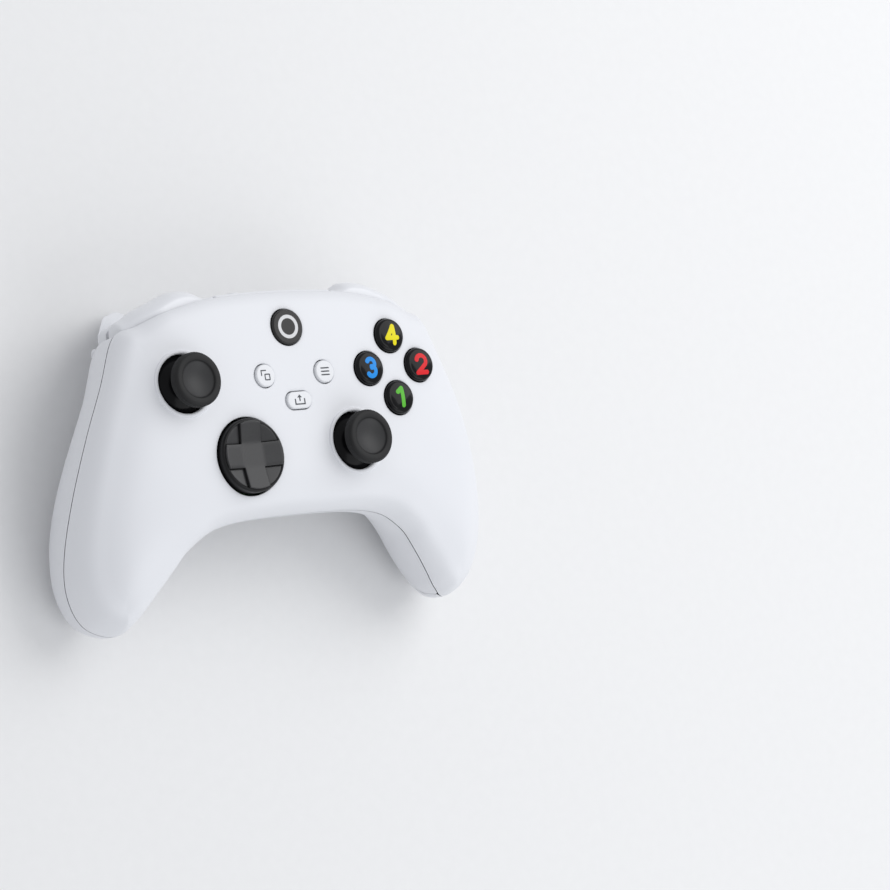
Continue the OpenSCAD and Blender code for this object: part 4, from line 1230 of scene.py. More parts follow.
# %% Lofts with rounded ends
BUMPER_IN = 22.5
BUMPER_START = 22.25
BUMPER_OUT = 54.5
BACK_REACH = 29.3
# How far the crest stays behind that reach, at even places along the bumper
CREST = [3.8, 0.36, 0.36, 2.7, 5.2, 8.5]


def crest(x):
    """Reach of the bumper's crest at a place along it."""
    marks = np.array([CREST[0]] + CREST + [CREST[-1]])
    curve = spline(np.column_stack([np.arange(-1, len(CREST) + 1), marks]), 24)
    q = (len(CREST) - 1) * np.clip((np.asarray(x) - BUMPER_IN) / (BUMPER_OUT - BUMPER_IN), 0, 1)
    return BACK_REACH - np.interp(q, curve[:, 0], curve[:, 1])


def end_shrink(far, radius, amount):
    """How far a section shrinks at a distance from the end of a loft, as a quarter round."""
    near = np.clip(far / radius, 0, 1)
    return amount * (1 - math.sqrt(1 - (1 - near) ** 2))


def fine_stations(x0, x1, r0, r1, step):
    """Places along a loft, close together where its ends are rounded."""
    turn = 1 - np.cos(np.linspace(0, math.pi / 2, 7))
    between = np.arange(x0 + r0 + step, x1 - r1 - step / 3, step)
    return np.concatenate([x0 + r0 * turn, between, (x1 - r1 * turn)[::-1]])


print("crest reaches mm:", round(float(crest(BUMPER_IN + 10)), 2))

# %% Bumpers
IN_ROUND = 0.4
END_ROUND = 1.0
FLUSH_Y = 26.1
SQUARE_UP_TO = 0.5
ROUND_FROM = 7
# Width of the bumper in plan, at its inner and its outer end
BUMPER_W = (7.0, 4.4)


def bumper_section(x):
    """Closed section of a bumper at a place along it."""
    s = end_shrink(x - BUMPER_START, IN_ROUND, 0.3) + end_shrink(BUMPER_OUT - x, END_ROUND, 0.8)
    # Next to the strip the section is as square as the strip, and flush with it
    square = 1 - ease(x, BUMPER_START + SQUARE_UP_TO, BUMPER_START + ROUND_FROM)
    y = mixed(crest(x), FLUSH_Y, square) - s
    top = seam_z(np.array([[x, LIP_Y]]))[0] - BUTTON_GAP - 0.6 * s
    low = CAP_LOW + 0.6 * s
    h = top - low
    deep = crest(x) - mixed(*BUMPER_W, (x - BUMPER_IN) / (BUMPER_OUT - BUMPER_IN))
    round_marks = [(deep, low), (y - 2.6, low), (y - 0.8, low + 0.14 * h), (y, low + 0.4 * h),
                   (y - 0.5, low + 0.68 * h), (y - 1.7, low + 0.9 * h), (y - 3.4, top), (deep, top)]
    square_marks = [(deep, low), (y - 1.0, low), (y - 0.12, low + 0.08 * h), (y, low + 0.4 * h),
                    (y, low + 0.68 * h), (y - 0.12, low + 0.94 * h), (y - 1.0, top), (deep, top)]
    line = spline(mixed(np.array(round_marks), np.array(square_marks), square), 6)
    line[:, 1] = np.clip(line[:, 1], low, top)
    return np.column_stack([np.full(len(line), x), line])


stations = fine_stations(BUMPER_START, BUMPER_OUT, IN_ROUND, END_ROUND, 0.8)
for side, word in SIDES:
    points, faces = loft([bumper_section(x) for x in stations])
    piece = make_piece(word + "_bumper_skin", sided(points, side), faces, edge_white, 40)
    settle(piece, word + "_bumper_body", "edge_white", word + "_bumper")

# %% [markdown]
# ## Triggers
# A trigger hangs from a pin and flares out to a nose at its tip. The loft runs across it, through closed
# sections whose marks follow the bumper's crest, so that it draws back towards the outer side. Its underside
# runs into a cone about the pin, which fills the opening and slides under the shell when it is pulled. A
# sculpted blade would not keep its gap to the shell while it turns; a cone about the pin does.

# %% Section of a trigger
TRIGGER_IN = 31.0
TRIGGER_OUT = 54.6
PIN_Y = 13.0
PIN_Z = -20.5
TIP_SLOPE = 0.95
TRIGGER_TOP = -16.9
TRIGGER_ROUND = 1.6
TRIGGER_SHRINK = 1.2
# Each mark of a section: depth, height and how far it follows the crest of the bumper
BLADE = [(27, TRIGGER_TOP, 1), (27.8, -20, 1), (27, -25, 1), (26.4, -30, 1), (27, -35.5, 1), (28.6, -38, 1),
         (30.2, -40.8, 1), (30.5, -42, 1), (29.4, -43, 1), (26, -42.1, 0.9), (22, -38.5, 0.7),
         (18, -35.5, 0.4)]
HUB = [(10.2, -23.2), (9.4, -20.5), (10.6, -17.8), (14, TRIGGER_TOP)]
MARK_REACH = 30.55
CREST_EASE = 0.25
# The marks of the nose, and those of its very tip
NOSE_Y = 26.4
NOSE_Z = -25
TIP_Z = -41
LIP = ((8.2, -28.6), (10.2, -26.5))
CONE_R = 13.3
CONE_SLOPE = 0.43


def cone_marks(x):
    """The underside near the pin: an arc about it, from below the pin to the lip under the shell."""
    r = CONE_R - CONE_SLOPE * (x - TRIGGER_IN)
    lip = straight(LIP[0], LIP[1], 0.05)
    lip = np.vstack([straight((LIP[0][0], -36), LIP[0], 0.05), lip])
    end = lip[np.argmin(np.abs(np.hypot(lip[:, 0] - PIN_Y, lip[:, 1] - PIN_Z) - r))]
    last = math.atan2(end[0] - PIN_Y, PIN_Z - end[1])
    turns = np.linspace(math.radians(8), last, 4)
    marks = [(PIN_Y + r * math.sin(t), PIN_Z - r * math.cos(t)) for t in turns]
    return marks + [(max(end[0] + 1.0, LIP[1][0]), max(end[1] + 1.2, LIP[1][1]))]


def trigger_section(x):
    """Closed section of a trigger: blade, nose, cone and hub."""
    s = sum(end_shrink(far, TRIGGER_ROUND, TRIGGER_SHRINK) for far in (x - TRIGGER_IN, TRIGGER_OUT - x))
    reach = mixed(crest(x), BACK_REACH, CREST_EASE) - MARK_REACH - s
    share = 1 - TIP_SLOPE * max(0.0, x - TRIGGER_IN - TRIGGER_SHRINK) / (FACE_Z + PIN_Z)
    # The nose fades out together with the blade's height
    nose = ease(share, 0.0, 0.45)
    blade = []
    for y, z, follow in BLADE:
        height = mixed(PIN_Z, z, share) if z < PIN_Z else z
        out = mixed(NOSE_Y, y, nose) if y > NOSE_Y and z < NOSE_Z else y
        blade.append((out + follow * reach, height + (s * nose if z < TIP_Z else 0)))
    line = spline(blade + cone_marks(x) + HUB, 6, closed=True)
    line[:, 1] = np.clip(line[:, 1], -FACE_Z, TRIGGER_TOP)
    return np.column_stack([np.full(len(line), x), line])


print("points of a section:", len(trigger_section(TRIGGER_IN)))

# %% [markdown]
# ## Hubs of the triggers
# Booleans open the hub of each trigger: the bore for the pin, the room of the spring and the slot for the
# outer lug. Past the slot a slanted cut keeps the blade clear of the side panel.

# %% Triggers
PIN_BORE = 1.65
SPRING_ROOM = (30.0, 36.6)
SPRING_ROOM_BACK = 17.3
SPRING_ROOM_FLOOR = -26.5
HUB_OUT = 46.0
SLOT_OUT = 48.0
SLOT_BACK = 16.9
SLOT_FLOOR = -24.9
SLANT = ((SLOT_OUT - 0.7, 8.7), (60.0, 21.4))


def room(x0, x1, back, floor):
    return prism([(x0, 0), (x1, 0), (x1, back), (x0, back)], floor, 0)


rooms = [bar((TRIGGER_IN - 1, PIN_Y, PIN_Z), (SLOT_OUT + 0.4, PIN_Y, PIN_Z), PIN_BORE),
         room(*SPRING_ROOM, SPRING_ROOM_BACK, SPRING_ROOM_FLOOR),
         room(HUB_OUT, SLOT_OUT, SLOT_BACK, SLOT_FLOOR),
         prism([(SLANT[0][0], 0), (SLANT[1][0], 0), SLANT[1], SLANT[0]], -FACE_Z - 1, 0)]
stations = fine_stations(TRIGGER_IN, TRIGGER_OUT, TRIGGER_ROUND, TRIGGER_ROUND, 0.7)
for side, word in SIDES:
    points, faces = loft([trigger_section(x) for x in stations])
    piece = make_piece(word + "_trigger_skin", sided(points, side), faces, trigger_white, 40)
    cut_away(piece, [(sided(p, side), f) for p, f in rooms])
    settle(piece, word + "_trigger_body", "trigger_white", word + "_trigger")

# %% [markdown]
# ## Thumb sticks
# A stick is turned: a glossy dome that fills the opening at every tilt, a neck, and a rubber cap with a
# smooth hollow for the thumb. The dome is part of a ball about the stick's pivot, so the gap to the ring
# stays the same when the stick leans. An attribute on the cap tells its finish where the hollow is: it is
# kept smoother there and painted lighter as painted light, and the rest of the cap is darker as painted
# shade.

# %% Stick profiles
STICK_H = 8.0
PIVOT_Z = -10.0
CAP_R = 8.25
HOLLOW_R = 5.6
HOLLOW_DEPTH = 1.5
SKIRT_R = 12.032
SKIRT_T = 1.2
SKIRT_ANGLE = 78
NECK_R = 4.6
STEM_BORE = 2.35
SLEEVE_R = 4.0
SLEEVE_Z = PIVOT_Z + 6.0


def dome_arc(radius, start, end):
    a = np.radians(np.linspace(start, end, 28))
    return [(radius * math.sin(t), PIVOT_Z + radius * math.cos(t)) for t in a]


def stick_skirt():
    """Profile of the dome with its sleeve and neck."""
    inner = SKIRT_R - SKIRT_T
    neck = math.degrees(math.asin(NECK_R / SKIRT_R))
    sleeve = math.degrees(math.asin(SLEEVE_R / inner))
    line = [(STEM_BORE, SLEEVE_Z), (SLEEVE_R, SLEEVE_Z)] + dome_arc(inner, sleeve, SKIRT_ANGLE)
    line += dome_arc(SKIRT_R, SKIRT_ANGLE, neck)
    line += [(NECK_R, STICK_H - 4.2), (STEM_BORE, STICK_H - 4.2), (STEM_BORE, SLEEVE_Z)]
    return line


def stick_top():
    """Profile of the rubber cap with its hollow."""
    r, top = CAP_R, STICK_H
    under = [(STEM_BORE, top - 5.0), (NECK_R, top - 5.0), (NECK_R + 0.1, top - 4.5),
             (NECK_R + 0.5, top - 4.1), (r - 1.3, top - 3.75), (r - 0.5, top - 3.5), (r - 0.12, top - 3.1)]
    side = [(r - 0.02, top - 2.6), (r - 0.02, top - 1.3), (r - 0.12, top - 0.8), (r - 0.4, top - 0.32),
            (r - 0.85, top - 0.06), (r - 1.4, top - 0.01), (r - 2.0, top - 0.06), (r - 2.4, top - 0.2),
            (HOLLOW_R, top - 0.55)]
    dish = [(HOLLOW_R * t, top - 0.55 - HOLLOW_DEPTH * (1 - t * t)) for t in np.linspace(1, 0, 18)[1:]]
    floor = [(0.0, top - 4.9), (STEM_BORE, top - 4.9), (STEM_BORE, top - 5.0)]
    return spline(under + side, 4).tolist() + dish + floor


def mark_hollow(cap, centre):
    """Writes the attribute that tells the hollow of a cap from its rim."""
    points = np.array([v.co for v in cap.data.vertices]) / MM - [centre[0], centre[1] + ROW_Y, FACE_Z]
    near = np.hypot(points[:, 0], points[:, 1])
    # The same share lightens the hollow's colour in the finish, as painted light
    share = ease(near, HOLLOW_R + 0.1, HOLLOW_R - 0.5) * (points[:, 2] > STICK_H - 3)
    cap.data.attributes.new("hollow", "FLOAT", "POINT").data.foreach_set("value", share.astype(np.float32))


print("profile points:", len(stick_skirt()), "and", len(stick_top()))

# %% [markdown]
# ## Rubber nubs
# The rim of a real cap is covered with tiny raised nubs for grip. Modelling them one by one would take
# hundreds of copies. Geometry Nodes place them by a rule: rings of points round the cap, one nub on each, and
# each ring turned by half a nub.

# %% Rings of nubs


def nub_tree():
    """Rings of points round an axis, from a low to a high one, with a nub on each point."""
    tree = bpy.data.node_groups.new("nub_rings", "GeometryNodeTree")
    face = tree.interface
    face.new_socket("Geometry", in_out="OUTPUT", socket_type="NodeSocketGeometry")
    inputs = {"Nub": "Object", "Count": "Int", "Rings": "Int", "Radius": "Float", "Low": "Float",
              "High": "Float", "Centre": "Vector", "Finish": "Material"}
    for label, kind in inputs.items():
        face.new_socket(label, in_out="INPUT", socket_type="NodeSocket" + kind)

    def node(kind, settings=None, sockets=None):
        made = tree.nodes.new(kind)
        for key, value in (settings or {}).items():
            setattr(made, key, value)
        for key, value in (sockets or {}).items():
            if isinstance(value, bpy.types.NodeSocket):
                tree.links.new(value, made.inputs[key])
            else:
                made.inputs[key].default_value = value
        return made

    def calc(operation, a, b=0.0):
        return node("ShaderNodeMath", {"operation": operation}, {0: a, 1: b}).outputs[0]

    given = tree.nodes.new("NodeGroupInput").outputs
    total = calc("MULTIPLY", given["Count"], given["Rings"])
    line = node("GeometryNodeMeshLine", {}, {"Count": total}).outputs[0]
    index = node("GeometryNodeInputIndex").outputs[0]
    row = calc("FLOOR", calc("DIVIDE", index, given["Count"]))
    # The half turns let the nubs stand like bricks
    spot = calc("ADD", index, calc("MULTIPLY", row, 0.5))
    turn = calc("MULTIPLY", calc("DIVIDE", spot, given["Count"]), 2 * math.pi)
    share = calc("DIVIDE", row, calc("MAXIMUM", calc("SUBTRACT", given["Rings"], 1.0), 1.0))
    rise = calc("ADD", given["Low"], calc("MULTIPLY", share, calc("SUBTRACT", given["High"], given["Low"])))
    east = calc("MULTIPLY", calc("COSINE", turn), given["Radius"])
    north = calc("MULTIPLY", calc("SINE", turn), given["Radius"])
    place = node("ShaderNodeCombineXYZ", {}, {0: east, 1: north, 2: rise}).outputs[0]
    place = node("ShaderNodeVectorMath", {"operation": "ADD"}, {0: place, 1: given["Centre"]}).outputs[0]
    points = node("GeometryNodeSetPosition", {}, {"Geometry": line, "Position": place}).outputs[0]
    shape = node("GeometryNodeObjectInfo", {}, {"Object": given["Nub"]}).outputs["Geometry"]
    spin = node("ShaderNodeCombineXYZ", {}, {2: turn}).outputs[0]
    set_out = node("GeometryNodeInstanceOnPoints", {},
                   {"Points": points, "Instance": shape, "Rotation": spin})
    real = node("GeometryNodeRealizeInstances", {}, {"Geometry": set_out.outputs[0]}).outputs[0]
    dressed = node("GeometryNodeSetMaterial", {}, {"Geometry": real, "Material": given["Finish"]}).outputs[0]
    tree.links.new(dressed, tree.nodes.new("NodeGroupOutput").inputs[0])
    return tree


NUB_W = 0.34
NUB_PROUD = 0.1
NUB_SUNK = 0.15
NUB_POINTS = 12


def nub_shape():
    """A flat pyramid that looks along +X, in metres, closed at its back."""
    rows = ((-NUB_SUNK, 0.5), (0.0, 0.5), (NUB_PROUD, 0.22))
    points = []
    for x, half in rows:
        for a, b in ((-1, -1), (1, -1), (1, 1), (-1, 1)):
            points.append((x * MM, a * half * NUB_W * MM, b * half * NUB_W * MM))
    faces = [(3, 2, 1, 0), (8, 9, 10, 11)]
    for k in (0, 4):
        faces += [(k + i, k + (i + 1) % 4, k + 4 + (i + 1) % 4, k + 4 + i) for i in range(4)]
    mesh = bpy.data.meshes.new("nub")
    mesh.from_pydata(points, [], faces)
    return bpy.data.objects.new("nub", mesh)


NUBS = nub_tree()
nub = nub_shape()
print("nodes of the nub tree:", len(NUBS.nodes))

# %% Stick caps
NUBS_ROUND = 92
NUB_RINGS = 5


def nubs_on(name, centre):
    """The nubs of a stick cap as a plain mesh."""
    holder = bpy.data.objects.new(name, bpy.data.meshes.new(name))
    bpy.context.scene.collection.objects.link(holder)
    rings_on = holder.modifiers.new("rings", "NODES")
    rings_on.node_group = NUBS
    values = {"Nub": nub, "Count": NUBS_ROUND, "Rings": NUB_RINGS, "Radius": (CAP_R - 0.02) * MM,
              "Low": (STICK_H - 2.7) * MM, "High": (STICK_H - 1.05) * MM,
              "Centre": to_frame([(*centre, 0.0)])[0].tolist(), "Finish": stick_rubber}
    for item in NUBS.interface.items_tree:
        if item.in_out == "INPUT":
            rings_on[item.identifier] = values[item.name]
    view = bpy.context.evaluated_depsgraph_get()
    mesh = bpy.data.meshes.new_from_object(holder.evaluated_get(view))
    holder.modifiers.clear()
    holder.data = mesh
    print(name, "has", len(mesh.vertices) // NUB_POINTS, "nubs")
    return holder


for word, centre in (("left", LEFT_STICK), ("right", RIGHT_STICK)):
    body = word + "_stick_cap_body"
    points, faces = lathe(stick_skirt(), centre, 112)
    skirt = make_piece(word + "_stick_skirt", points, faces, skirt_gloss, 40)
    points, faces = lathe(stick_top(), centre, 128)
    top = make_piece(word + "_stick_rubber", points, faces, stick_rubber, 40)
    mark_hollow(top, centre)
    settle(skirt, body, "stick_black")
    settle(top, body, "stick_black", word + "_stick_cap")
    settle(nubs_on(word + "_stick_nubs", centre), body, "stick_black")

# %% [markdown]
# ## Direction pad
# The pad is a thick black disc. A cross stands on it, level in the middle and with arms that rise to the
# rim, and between the arms four lower facets rise outwards as well. A turned base carries them. The cross and
# the facets are plates with rounded edges, each with a height of its own over the plan, so that the thin dark
# lines between them come by themselves.

# %% Heights of the direction pad
DPAD_R = 11.35
CROSS_HALF = 3.7
DPAD_PIVOT_TOP = -3.7
PAD_TOP_R = 10.45
CROSS_LOW = 1.6
CROSS_RISE = 1.35
FACET_LOW = 0.75
FACET_RISE = 1.3
FACET_FROM = 5.2
FACET_GAP = 0.12


def pad_base():
    r = DPAD_R
    line = [(0.0, DPAD_PIVOT_TOP), (3.0, DPAD_PIVOT_TOP), (3.0, -2.6), (r - 0.6, -2.6), (r, -2.0), (r, 1.3)]
    line += [(r - 0.06, 1.55), (r - 0.2, 1.8), (r - 0.5, 2.05), (r - 0.8, 2.1), (r - 1.1, 1.9)]
    line += [(r - 1.3, 1.0), (4.0, 0.6), (0.0, 0.6)]
    return line


def cross_height(plan):
    arm = np.maximum(np.abs(plan[:, 0]), np.abs(plan[:, 1]))
    return CROSS_LOW + CROSS_RISE * np.clip((arm - CROSS_HALF) / (PAD_TOP_R - CROSS_HALF), 0, 1)


def facet_height(plan):
    far = (np.abs(plan[:, 0]) + np.abs(plan[:, 1])) / math.sqrt(2)
    return FACET_LOW + FACET_RISE * np.clip((far - FACET_FROM) / FACET_FROM, 0, 1)


print("cross ends above the face mm:", CROSS_LOW + CROSS_RISE)

# %% Direction pad


def inner_corner(half, turn):
    """The corner between two arms of a cross of a half width, after a turn in degrees."""
    c = math.cos(math.radians(turn))
    s = math.sin(math.radians(turn))
    return np.array([half * c - half * s, half * s + half * c])


def cross_loop():
    h = CROSS_HALF
    wide = math.degrees(math.atan2(h, math.sqrt(PAD_TOP_R**2 - h * h)))
    loop = []
    for turn in range(0, 360, 90):
        tip = arc((0, 0), PAD_TOP_R, turn - wide, turn + wide, 12)
        follower = arc((0, 0), PAD_TOP_R, turn + 90 - wide, turn + 90 - wide, 1)[0]
        corner = inner_corner(h, turn)
        loop += [tip, straight(tip[-1], corner, 0.6)[:-1], straight(corner, follower, 0.6)]
    return joined(*loop)


def facet_loop(turn):
    h = CROSS_HALF + FACET_GAP
    r = PAD_TOP_R - 0.05
    low = math.degrees(math.asin(h / r))
    rim = arc((0, 0), r, turn + low, turn + 90 - low, 20)
    corner = inner_corner(h, turn)
    return joined(rim, straight(rim[-1], corner, 0.6), straight(corner, rim[0], 0.6))


pad = Soup()
points, faces = lathe(pad_base(), DPAD, 128)
base = make_piece("pad_disc", points, faces, pad_edge, 30)
cross = plate(cross_loop(), [], laid(DPAD, cross_height), CROSS_LOW, 0.28, spacing=0.7)
pad.add(cross.points, cross.faces)
for turn in range(0, 360, 90):
    facet = plate(facet_loop(turn), [], laid(DPAD, facet_height), 0.7, 0.2, spacing=0.7)
    pad.add(facet.points, facet.faces)
pad_top = make_piece("pad_cross", pad.points, pad.faces, pad_satin, 32)
settle(base, "dpad_cap_body", "pad_black", "dpad_cap")
settle(pad_top, "dpad_cap_body", "pad_black")

# %% [markdown]
# ## Buttons
# Every push button is a cap, a flange that keeps it in the shell and a plunger over its rubber dome. The
# caps are turned shapes with a soft dome. Their signs are printed: each one is a very thin plate that
# follows the dome, cut from plan loops. A picture on the cap would do from afar and blur close up.

# %% Button caps and their prints
FLANGE_TOP = -3.8
FLANGE_T = 1.0
FLANGE = 0.9
PLUNGER_R = 2.6
PRINT_T = 0.035
PRINT_EDGE = 0.02
PRINT_LAYER = 0.004


def dome_line(r, side, top, crown):
    """Profile of a cap from its wall to the middle: the wall turns in at side and rises to top."""
    a = np.linspace(0, math.pi / 2, 10)
    edge = [(r - crown * (1 - math.cos(t)), side + crown * math.sin(t)) for t in a]
    r1, z1 = edge[-1]
    return edge + [(r1 * (1 - t), z1 + (top - z1) * (1 - (1 - t) ** 2)) for t in np.linspace(0, 1, 12)[1:]]


def height_on(line):
    """Height of a turned cap at a distance from its middle."""
    rs, zs = np.array(line[::-1]).T
    return lambda plan: np.interp(np.hypot(plan[:, 0], plan[:, 1]), rs, zs)


def under_cap(node, r):
    """Profile below a cap: the plunger down to where the solid ends, and the flange."""
    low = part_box(node)[0][2] / MM - FACE_Z
    under = FLANGE_TOP - FLANGE_T
    return [(0.0, low), (PLUNGER_R, low), (PLUNGER_R, under), (r + FLANGE, under), (r + FLANGE, FLANGE_TOP),
            (r, FLANGE_TOP)]


def round_cap(node, centre, d, side, top, crown, material, slot):
    """A turned button; returns the height of its top over the plan."""
    line = dome_line(d / 2, side, top, crown)
    points, faces = lathe(under_cap(node, d / 2) + line, centre, 96)
    piece = make_piece(node + "_cap", points, faces, material, 32)
    settle(piece, node + "_body", slot, node)
    return height_on(line)


def printed(name, loops, centre, height, material, node, slot):
    """Thin printed signs on a cap. loops: (outer, holes) pairs in plan, from the cap's middle."""
    sign = Soup()
    for k, (outer, holes) in enumerate(loops):
        # Strokes that cross lie a hair above one another
        place = laid(centre, lambda plan: height(plan) + PRINT_LAYER * k + PRINT_T)
        layer = plate(outer, holes, place, 2 * PRINT_T, PRINT_EDGE, PRINT_EDGE, spacing=0.35)
        sign.add(layer.points, layer.faces)
    piece = make_piece(name, sign.points, sign.faces, material, 40)
    settle(piece, node + "_body", slot)


print("flange below the face mm:", -FLANGE_TOP)

# %% [markdown]
# ## Action buttons
# The four action buttons stand highest and are domed most. They carry plain numbers in four colours. A font
# would bring its own outlines, so a number is drawn as a pen would do it: strokes of one width with round
# ends, along arcs and straight lines.

# %% Action buttons with numbers
PEN_STEP = 0.3


def stroke(path, wide):
    """Outline of a thick line with round ends."""
    p = np.asarray(path, float)
    ahead = np.gradient(p, axis=0)
    ahead *= wide / 2 / np.linalg.norm(ahead, axis=1)[:, None]
    side = np.column_stack([-ahead[:, 1], ahead[:, 0]])
    turn = np.linspace(0, math.pi, 12)[1:-1, None]
    end = p[-1] + np.cos(turn) * side[-1] + np.sin(turn) * ahead[-1]
    start = p[0] - np.cos(turn) * side[0] - np.sin(turn) * ahead[0]
    return np.vstack([p + side, end, (p - side)[::-1], start])


def pen(a, b):
    return straight(a, b, PEN_STEP)


STROKE = 1.45
NUMBER_H = 2.7
FIGURES = {
    "1": [pen((-1.25, 1.6), (0.35, NUMBER_H)), pen((0.35, NUMBER_H), (0.35, -NUMBER_H))],
    "2": [np.vstack([arc((0, 0.95), 1.75, 165, -35, 20), pen((1.3, -0.2), (-1.55, -2.55))]),
          pen((-1.7, -NUMBER_H), (1.9, -NUMBER_H))],
    "3": [arc((-0.1, 1.3), 1.4, 150, -90, 22), arc((-0.1, -1.2), 1.5, 90, -150, 22)],
    "4": [pen((0.8, NUMBER_H), (0.8, -NUMBER_H)), pen((0.7, 2.65), (-1.9, -1.0)),
          pen((-1.9, -1.0), (2.1, -1.0))]}
ACTION_SIDE = 0.2
ACTION_TOP = 1.95
ACTION_CROWN = 1.2
figures = {"action_bottom": ("1", ink_green), "action_right": ("2", ink_red),
           "action_left": ("3", ink_blue), "action_top": ("4", ink_yellow)}
for node, centre in action_places.items():
    height = round_cap(node, centre, ACTION_D, ACTION_SIDE, ACTION_TOP, ACTION_CROWN, action_gloss,
                       "action_black")
    figure, colour = figures[node]
    strokes = [(stroke(path, STROKE), []) for path in FIGURES[figure]]
    printed(node + "_number", strokes, centre, height, colour, node, "action_black")

# %% [markdown]
# ## Small buttons
# The home button is black and carries a plain ring. The view and menu buttons are white with grey signs: two
# windows, and three bars. They are turned like the action buttons, only flatter, and their signs are cut
# from loops with sharper corners.

# %% Home, view and menu buttons
SMALL_RISE = 0.8
SMALL_SIDE = 0.3
SMALL_CROWN = 0.5
HOME_RING = (3.7, 2.6)


def bar_loop(x, y, wide, high, r=0.12):
    return box_loop(x - wide / 2, x + wide / 2, y - high / 2, y + high / 2, r, r, PEN_STEP)


def frame_loops(x, y, wide, line):
    within = wide - 2 * line
    return bar_loop(x, y, wide, wide), [bar_loop(x, y, within, within, 0.05)]


def polygon_loop(*corners):
    p = np.array(corners, float)
    return joined(*(pen(a, b) for a, b in zip(p, np.roll(p, -1, axis=0))))


BRACKET = [(-1.75, -0.1), (-1.37, -0.1), (-1.37, 1.37), (0.3, 1.37), (0.3, 1.75), (-1.75, 1.75)]
home_top = round_cap("home_button", HOME, HOME_D, SMALL_SIDE, SMALL_RISE, SMALL_CROWN, home_gloss,
                     "home_black")
outer, inner = (plan_circle((0, 0), r, 72) for r in HOME_RING)
printed("home_ring", [(outer, [inner])], HOME, home_top, ink_pale, "home_button", "home_black")
signs = {
    "view_button": ((-SMALL_X, 0.0), [(polygon_loop(*BRACKET), []), frame_loops(0.5, -0.5, 2.1, 0.38)]),
    "menu_button": ((SMALL_X, 0.0), [(bar_loop(0, y, 3.3, 0.42), []) for y in (1.05, 0.0, -1.05)])}
for node, (centre, loops) in signs.items():
    height = round_cap(node, centre, SMALL_D, SMALL_SIDE, SMALL_RISE, SMALL_CROWN, small_white,
                       "small_white")
    printed(node + "_sign", loops, centre, height, ink_grey, node, "small_white")

# %% [markdown]
# ## Share and pairing buttons
# The share button is a pill, which no lathe can turn, so its cap and its flange are plates. The pairing
# button sits on the back edge and is pushed forwards: it is turned upright and then laid over.

# %% Share button
TRAY = [(-1.95, 0.4), (-1.95, -1.5), (1.95, -1.5), (1.95, 0.4), (1.5, 0.4), (1.5, -1.07), (-1.5, -1.07),
        (-1.5, 0.4)]
ARROW = [(-0.22, -0.4), (0.22, -0.4), (0.22, 0.75), (0.9, 0.75), (0.0, 1.65), (-0.9, 0.75), (-0.22, 0.75)]
STALK_R = PLUNGER_R - 0.4


def level(z):
    return lambda plan: np.full(len(plan), z)


def share_plate(grow, top, depth, edge):
    """A pill on the share button's place, larger than its cap by grow on each side."""
    loop = pill_loop((0, 0), SHARE_L + 2 * grow, SHARE_W + 2 * grow, 80)
    return plate(loop, [], laid(SHARE, level(top)), depth, edge)


share_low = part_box("share_button")[0][2] / MM - FACE_Z
under = FLANGE_TOP - FLANGE_T
share = share_plate(0.0, SMALL_RISE, SMALL_RISE - FLANGE_TOP, 0.4)
keeper = share_plate(FLANGE, FLANGE_TOP, FLANGE_T, 0.1)
stalk = lathe([(0.0, under), (STALK_R, under), (STALK_R, share_low), (0.0, share_low)], SHARE, 40)
share.add(keeper.points, keeper.faces)
share.add(*stalk)
share_cap = make_piece("share_button_cap", share.points, share.faces, small_white, 40)
settle(share_cap, "share_button_body", "small_white", "share_button")
printed("share_button_sign", [(polygon_loop(*TRAY), []), (polygon_loop(*ARROW), [])], SHARE,
        level(SMALL_RISE), ink_grey, "share_button", "small_white")

# %% Pairing button
PAIR_OUT = 27.4
PAIR_INNER = 21.5
pair_dome = dome_line(PAIR_D / 2, PAIR_OUT - 0.4, PAIR_OUT, 0.35)
points, faces = lathe([(0.0, PAIR_INNER), (PAIR_D / 2, PAIR_INNER)] + pair_dome, (0, 0), 64)
points = [(x + PAIR[0], z, PAIR[1] - y) for x, y, z in points]
pair_button = make_piece("pair_button_cap", points, faces, small_white, 32)
settle(pair_button, "pair_button_body", "small_white", "pair_button")

# %% [markdown]
# ## What lies inside
# The boards, motors, springs and cells keep their solids: they are right as they are and only need a
# finish. Each solid already names its slot, so a table from slot to finish dresses them all.

# %% Finishes of the inner solids
inner_finish = {"frame_grey": frame_grey, "steel": steel, "weight_dark": weight_metal,
                "membrane_grey": membrane_grey, "board_green": board_green, "light_guide": guide_clear,
                "socket_black": socket_black, "cell_grey": cell_sleeve}
dressed = 0
for name, solid in nodes.items():
    for place in solid.material_slots:
        slot_name = place.material.name.split(".")[0]
        if slot_name in inner_finish:
            place.material = inner_finish[slot_name]
            dressed += 1
print("inner solids dressed:", dressed)

# %% [markdown]
# ## Stage and light
# The pad lies on a plain pale floor of paper. A wide soft panel above, to the right and behind, gives the
# white its gentle gradient, a second one fills from the front, and a pale sky lifts the shadows. Small lamps
# would throw hard shadows and leave sparks on the gloss.

# %% Floor
FLOOR = 3.0
paper = Finish("floor_paper")
paper_tone = paper.mix(paper.noise(260.0, 3.0), tone(0.80, 0.80, 0.80), tone(0.83, 0.83, 0.83))
floor_mesh = bpy.data.meshes.new("floor")
floor_corners = [(a * FLOOR, b * FLOOR, 0) for a, b in ((-1, -1), (1, -1), (1, 1), (-1, 1))]
floor_mesh.from_pydata(floor_corners, [], [(0, 1, 2, 3)])
floor_mesh.materials.append(paper.surface(Base_Color=paper_tone, Roughness=0.85))
floor = bpy.data.objects.new("floor", floor_mesh)
bpy.context.scene.collection.objects.link(floor)
print("floor laid, metres:", 2 * FLOOR)

# %% Lights
MIDDLE = (0.0, 0.0, 0.03)
LAMP_SIZE = 0.9


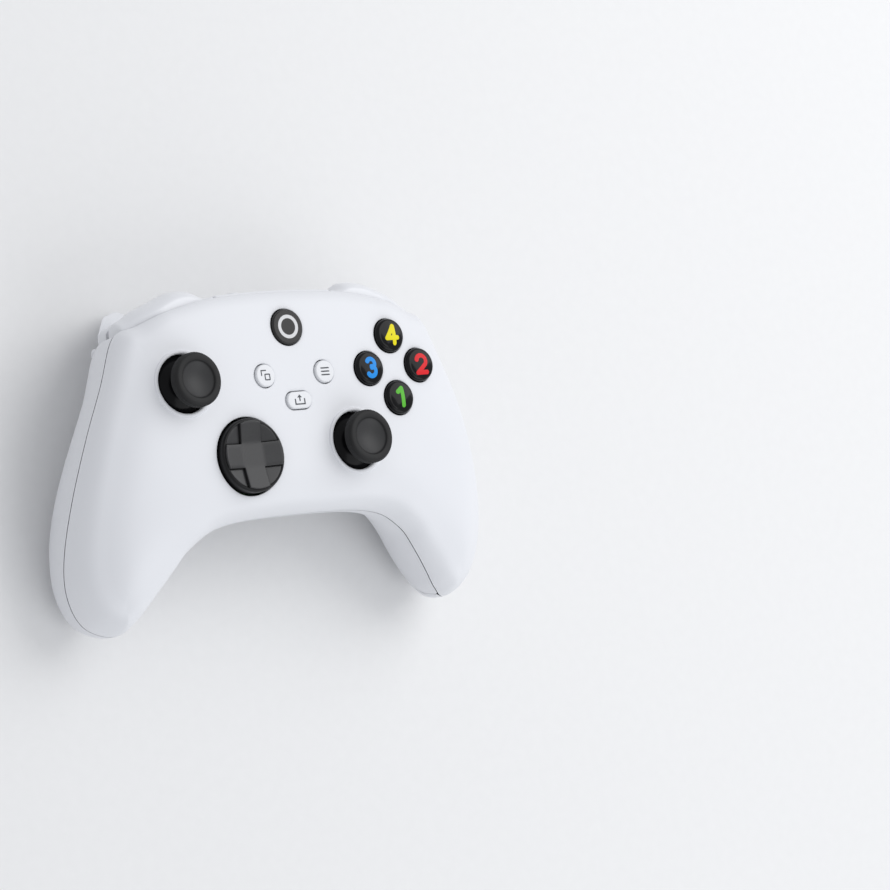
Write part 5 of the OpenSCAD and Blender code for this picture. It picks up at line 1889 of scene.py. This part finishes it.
def soft_panel(name, place, watts, tint):
    """A square lamp that looks at the middle of the pad."""
    lamp = bpy.data.lights.new(name, "AREA")
    lamp.shape = "RECTANGLE"
    lamp.size = LAMP_SIZE
    lamp.size_y = LAMP_SIZE
    lamp.energy = watts
    lamp.color = tint
    holder = bpy.data.objects.new(name, lamp)
    holder.location = place
    holder.rotation_euler = (Vector(MIDDLE) - Vector(place)).to_track_quat("-Z", "Y").to_euler()
    bpy.context.scene.collection.objects.link(holder)
    print(name, "watts:", watts)


soft_panel("key_panel", (0.55, 0.38, 0.8), 5.0, (1.0, 1.0, 1.0))
soft_panel("fill_panel", (0.3, -0.8, 0.75), 3.0, (0.96, 0.98, 1.0))
sky = bpy.data.worlds.new("studio_sky")
sky.use_nodes = True
sky_light = sky.node_tree.nodes["Background"].inputs
sky_light["Color"].default_value = tone(0.95, 0.965, 1.0)
sky_light["Strength"].default_value = 0.64
bpy.context.scene.world = sky
bpy.context.scene.view_settings.view_transform = "Standard"

# %% [markdown]
# ## Camera
# The camera looks down on the face from the player's left, through a long lens, so that the pad hardly
# narrows with distance. A target to track would be the quick way. Here two of its axes and its place are
# given, as they were fitted to the photograph, and the third axis follows from them.

# %% Camera
# Focal length and picture width in pixels, sensor width in millimetres
FOCAL = 3574.5
IMAGE = 890.0
SENSOR = 36.0
CAMERA_RIGHT = (0.781, -0.164, 0.603)
CAMERA_BACK = (-0.621, -0.094, 0.778)
CAMERA_AT = (-0.6436, -0.1106, 0.9172)
lens = bpy.data.cameras.new("camera")
lens.sensor_width = SENSOR
lens.lens = FOCAL * SENSOR / IMAGE
camera = bpy.data.objects.new("camera", lens)
right = Vector(CAMERA_RIGHT).normalized()
back = Vector(CAMERA_BACK)
back = (back - right * back.dot(right)).normalized()
up = back.cross(right)
turn = Matrix((right, up, back)).transposed()
camera.matrix_world = Matrix.Translation(CAMERA_AT) @ turn.to_4x4()
bpy.context.scene.collection.objects.link(camera)
bpy.context.scene.camera = camera
print("lens mm:", round(lens.lens, 1))
